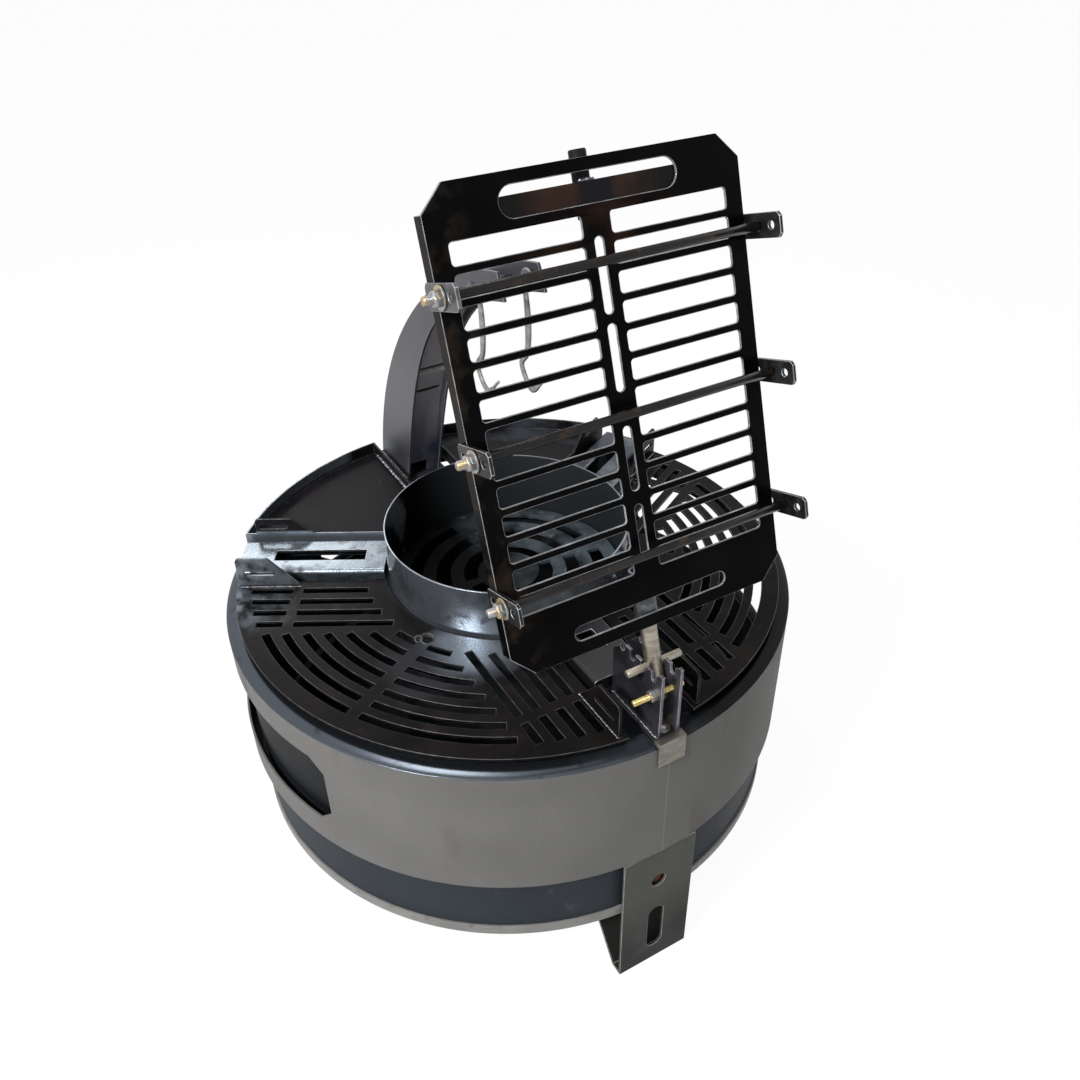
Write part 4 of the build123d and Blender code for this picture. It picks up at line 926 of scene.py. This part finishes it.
dark_bar = finish(
    "dark_clamp_bar",
    [(18, 17, 16), (27, 25, 24), (44, 41, 39)],
    grain=40, rough=(0.14, 0.24), metal=0.3, specular=0.3, stretch=(0.2, 1, 1), grit=(700, 0.00005),
    stains=[dict(colour=(80, 56, 42), grain=50, limits=(0.6, 0.8), rough=0.6)],
)
dark_plate = finish(
    "dark_clamp_plate",
    [(28, 28, 30), (42, 42, 44), (62, 62, 64)],
    grain=60, rough=(0.3, 0.5), metal=0.6, grit=(700, 0.00015),
    stains=[dict(colour=(90, 66, 50), grain=70, limits=(0.62, 0.82), rough=0.6)],
)
zinc_plate = finish(
    "dull_zinc_plate",
    [(70, 71, 73), (92, 93, 95), (116, 117, 119)],
    grain=90, rough=(0.28, 0.46), metal=0.9, grit=(800, 0.0001),
    stains=[
        dict(colour=(60, 58, 58), grain=70, limits=(0.58, 0.78), rough=0.5, metal=0.6),
        dict(colour=(44, 44, 47), grain=40, limits=(0.15, 0.45), where=[("Z", 0.93, 0.85)]),
    ],
)
clamp_bar = rod(ROD_RADIUS, *ROD_RUN, ALONG_X, (0, 1, 0), chamfer=0.0006)
clamp_thread = thread(ROD_RADIUS, THREAD_PITCH, THREAD_END, ROD_RUN[0], ALONG_X, (0, 1, 0))
flange = turned(rounded(FLANGE_OUTLINE, radius=0.0004), steps=40)
flange_nut = together(flange, hexagon(FLANGE_NUT_RADIUS, *FLANGE_NUT_RUN))
for name, high in CLAMP_HEIGHTS.items():
    body, nut = f"clamp_{name}", f"flange_nut_{name}"
    axis_at = PIN + UP_RACK * high + OUT_OF_RACK * ROD_OUT
    put(f"{body}_bar", shifted(clamp_bar, axis_at), dark_bar, body, [f"{body}_rod"])
    put(f"{body}_thread", shifted(clamp_thread, axis_at), galvanised, body)
    for side, plate, slot in (("left", zinc_plate, "zinc"), ("right", dark_plate, "dark_steel")):
        sheet_copy(f"{body}_plate_{side}", f"{body}_ear_{side}", plate, body, edge=bright_edge)
    nut_body = placed(flange_nut, axis_at - ALONG_X * NUT_SEAT, UP_RACK, -ALONG_X)
    put(f"{nut}_body", nut_body, galvanised, nut, [nut])

# Arm: two curved plates with a sheet bent along their front and another along their back, standing on a bar
# that hooks over the rim behind. Two rods across its tip carry the hooks.
ARM_SIDE = 0.0300
ARM_RUN = (0.294, 0.397)
ARM_FOOT = 0.4443
ARM_BEAD = 0.0017
ARM_BAR_HIGH = 0.444
ARM_BOLT_SIDE = 0.013

arm_paint = finish(
    "arm_slate_satin",
    [(70, 68, 74), (82, 80, 86), (94, 92, 97)],
    grain=6, rough=(0.36, 0.5), specular=0.4, grit=(900, 0.00012),
    stains=[
        dict(colour=(36, 40, 50), grain=8, limits=(0.15, 0.45), where=[("Z", 0.57, 0.505)]),
        dict(colour=(60, 58, 67), grain=8, limits=(0.1, 0.4), where=[("Z", 0.64, 0.76)]),
        dict(colour=(120, 116, 116), grain=60, limits=(0.7, 0.9)),
    ],
)
arm_edge = finish(
    "arm_worn_edge",
    [(96, 95, 100), (122, 121, 126), (146, 145, 148)],
    grain=60, rough=(0.3, 0.45),
)
# The web has the arm's slate paint made about twice as light, as painted light where it lies in shade
lightened_web_paint = finish(
    "arm_web_painted_light",
    [(168, 164, 168), (184, 180, 184), (200, 196, 199)],
    grain=8, rough=(0.36, 0.5), specular=0.4, grit=(900, 0.00012),
    stains=[dict(colour=(66, 70, 88), grain=8, limits=(0.15, 0.45), where=[("Z", 0.58, 0.5)])],
)
for side, sign in SIDES.items():
    sheet_copy("arm_cheek_" + side, "arm_side_" + side, arm_paint, "stand", width=0.0007,
               edge=arm_edge)
    bead = level_weld(sign * ARM_SIDE, ARM_RUN, ARM_FOOT, ARM_BEAD)
    put(f"arm_{side}_weld", bead, weld_steel, "stand")
sheet_copy("arm_web", "arm_web_sheet", lightened_web_paint, "stand", width=0.0005)
sheet_copy("arm_back", "arm_back_sheet", arm_paint, "stand", width=0.0005)
sheet_copy("arm_base", "arm_foot_bar", arm_paint, "stand", width=0.0008, edge=arm_edge)
arm_bolts = [rim_bolt(sign * ARM_BOLT_SIDE, RIM_BOLT_OUT, ARM_BAR_HIGH) for sign in SIDES.values()]
put("arm_bolts_m10", together(*arm_bolts), galvanised, "stand", ["arm_bolts"])

# Hooks: flat steel bent over a rod above and into a claw below, ground to a blunt point.
# They swing freely, side by side, left in bright bare steel.
HANGERS = {"left": (-0.016, 0.010, 0.868), "right": (0.016, -0.050, 0.887)}
HANGER_RADIUS = 0.005
HANGER_HALF = 0.033
HOOK_SEAT = 0.00905
HOOK_WRAP = 190.0
# Points in y and z from the rod's axis, down the shank and round the claw.
HOOK_BENDS = np.array([[HOOK_SEAT, 0.0], [0.0015, -0.046], [0.004, -0.092], [0.020, -0.117],
                       [-0.0045, -0.141], [-0.037, -0.1155]])
HOOK_WIDTH = 0.008
HOOK_SHEET = 0.004


def smooth_line(points, steps):
    """Line through points: p = h00 a + h10 m + h01 b + h11 n on each piece, with chord tangents m and n."""
    slope = np.gradient(points, axis=0)
    t = np.linspace(0, 1, steps, endpoint=False)[None, :, None]
    a, b, m, n = points[:-1, None], points[1:, None], slope[:-1, None], slope[1:, None]
    curve = (2 * t**3 - 3 * t**2 + 1) * a + (t**3 - 2 * t**2 + t) * m
    curve = curve + (3 * t**2 - 2 * t**3) * b + (t**3 - t**2) * n
    return np.concatenate([curve.reshape(-1, points.shape[1]), points[-1:]])


def bent_strip(path, width, sheet, x, tip=0.12, blunt=0.45, swell_at=0.44, swell_run=0.1):
    """Strip of rounded section carried along a path in an upright plane: p = path + q N(s) + w X.

    Its shank swells by half, and its last part, the tip, narrows to a blunt end.
    """
    run = np.gradient(path, axis=0)
    run /= np.linalg.norm(run, axis=1)[:, None]
    normal = np.stack([-run[:, 1], run[:, 0]], axis=-1)
    section = rounded([(-0.5, -0.5), (0.5, -0.5), (0.5, 0.5), (-0.5, 0.5)], radius=0.3, steps=5)
    s = np.linspace(0, 1, len(path))
    swell = 1 + 0.5 * np.exp(-(((s - swell_at) / swell_run) ** 2))
    narrow = (np.clip((1 - s) / tip, blunt, 1.0) * swell)[:, None]
    sway = path[:, None] + normal[:, None] * (section[:, 0] * width * narrow)[..., None]
    thick = x + section[:, 1] * sheet * np.clip(narrow + 0.2, 0, 1)
    points = np.concatenate([thick[..., None], sway], axis=-1)
    return points.reshape(-1, 3), tube_faces(*points.shape[:2])


hook_steel = finish(
    "hook_steel",
    [(122, 121, 120), (146, 145, 143), (170, 169, 166)],
    grain=46, rough=(0.3, 0.46), metal=0.45, stretch=(1, 1, 4),
    stains=[
        dict(colour=(56, 52, 52), grain=60, limits=(0.58, 0.78), rough=0.5, metal=0.5),
        dict(colour=(110, 82, 60), grain=90, limits=(0.68, 0.86), rough=0.6, metal=0.3),
    ],
)
turn = np.radians(np.linspace(HOOK_WRAP, 0, 24, endpoint=False))
hook_seat = HOOK_SEAT * np.stack([np.cos(turn), np.sin(turn)], axis=-1)
hook_line = np.concatenate([hook_seat, smooth_line(HOOK_BENDS, steps=14)])
hanger_bars = []
for side, (x, y, z) in HANGERS.items():
    bar = rod(HANGER_RADIUS, -HANGER_HALF, HANGER_HALF, ALONG_X, (0, 1, 0))
    hanger_bars.append(shifted(bar, (0, y, z)))
    strip = bent_strip(hook_line + np.array([y, z]), HOOK_WIDTH, HOOK_SHEET, x)
    put(f"hook_{side}_strip", strip, hook_steel, f"hook_{side}", [f"hook_{side}"])
put("hanger_bars", together(*hanger_bars), dull_steel, "stand", ["hanger_rods"])

# Floor and light: a pale studio floor that stays white around its shadow, a wide soft sun and a panel high on
# the left, a weak panel at the front right, one behind that glints on the rails and one overhead that glints
# on the rim.
FLOOR_HALF = 20.0
FLOOR_LEVEL = -0.001
FLOOR_WHITE = 0.9
FLOOR_GLOW = 1.08
GLOW_SHARE = 0.88
SKY_LIGHT = 0.15
SKY_SEEN = 1.0

square = ((-1, -1), (1, -1), (1, 1), (-1, 1))
floor_corners = [(x * FLOOR_HALF, y * FLOOR_HALF, FLOOR_LEVEL) for x, y in square]
floor_mesh = bpy.data.meshes.new("studio_floor")
floor_mesh.from_pydata(floor_corners, [], [(0, 1, 2, 3)])
floor = bpy.data.objects.new("studio_floor", floor_mesh)
bpy.context.scene.collection.objects.link(floor)


def seen_directly(tree):
    """One where a ray comes straight from the eye, or by a mirror or through glass."""
    path = add(tree, "LightPath", {})
    total = path.outputs["Is Camera Ray"]
    for kind in ("Is Glossy Ray", "Is Transmission Ray"):
        total = add(tree, "Math", {0: total, 1: path.outputs[kind]}, operation="MAXIMUM").outputs[0]
    return total


floor_paint = bpy.data.materials.new("pale_floor")
floor_paint.use_nodes = True
tree = floor_paint.node_tree
tree.nodes.clear()
matt = add(tree, "BsdfDiffuse", {"Color": (FLOOR_WHITE, FLOOR_WHITE, FLOOR_WHITE, 1)})
glow = add(tree, "Emission", {"Color": (1, 1, 1, 1), "Strength": FLOOR_GLOW})
share = add(tree, "Math", {0: seen_directly(tree), 1: GLOW_SHARE}, operation="MULTIPLY")
mixed = add(tree, "MixShader", {0: share.outputs[0], 1: matt.outputs[0], 2: glow.outputs[0]})
add(tree, "OutputMaterial", {"Surface": mixed.outputs[0]})
floor_mesh.materials.append(floor_paint)

sky = bpy.data.worlds.new("studio")
sky.use_nodes = True
bpy.context.scene.world = sky
tree = sky.node_tree
level = add(tree, "MapRange", {"Value": seen_directly(tree), "To Min": SKY_LIGHT, "To Max": SKY_SEEN})
feed(tree, tree.nodes["Background"], {"Color": (1, 1, 1, 1), "Strength": level.outputs["Result"]})


def aim(lamp, spot, target):
    """Lamp at a spot, its face turned to a target."""
    holder = bpy.data.objects.new(lamp.name, lamp)
    bpy.context.scene.collection.objects.link(holder)
    look = np.asarray(target, dtype=float) - np.asarray(spot, dtype=float)
    tip = math.acos(-look[2] / np.linalg.norm(look))
    holder.location = spot
    holder.rotation_euler = (tip, 0, math.atan2(look[1], look[0]) - math.pi / 2)
    return holder


def panel(name, width, height, power, spot, target):
    """Rectangular soft light of a given power in watts."""
    lamp = bpy.data.lights.new(name, "AREA")
    lamp.shape = "RECTANGLE"
    lamp.size = width
    lamp.size_y = height
    lamp.energy = power
    return aim(lamp, spot, target)


sun = bpy.data.lights.new("soft_window", "SUN")
sun.energy = 0.35
sun.angle = math.radians(60)
aim(sun, (-2.0, -0.6, 2.6), (0, 0, 0.4))
panel("left_panel", 0.8, 0.4, 66, (-2.25, -1.07, 2.37), (0, 0, 0.45))
panel("right_panel", 1.0, 1.0, 0.8, (1.9, -2.0, 1.6), (0, 0, 0.5))
panel("back_panel", 0.55, 0.5, 5, (0.1, 2.2, 1.95), (-0.3, 0.15, 0.46))
panel("rim_panel", 0.5, 0.5, 9, (-0.13, 0.78, 2.81), (-0.25, -0.3, 0.44))

camera = bpy.data.cameras.new("photo_camera")
camera.lens = 33.583
camera.sensor_width = 36.0
viewer = bpy.data.objects.new("photo_camera", camera)
bpy.context.scene.collection.objects.link(viewer)
viewer.location = (-0.5340, -1.0467, 1.3202)
viewer.rotation_euler = tuple(math.radians(turn) for turn in (54.615, 0.969, -29.997))
bpy.context.scene.camera = viewer
bpy.context.scene.view_settings.view_transform = "Standard"
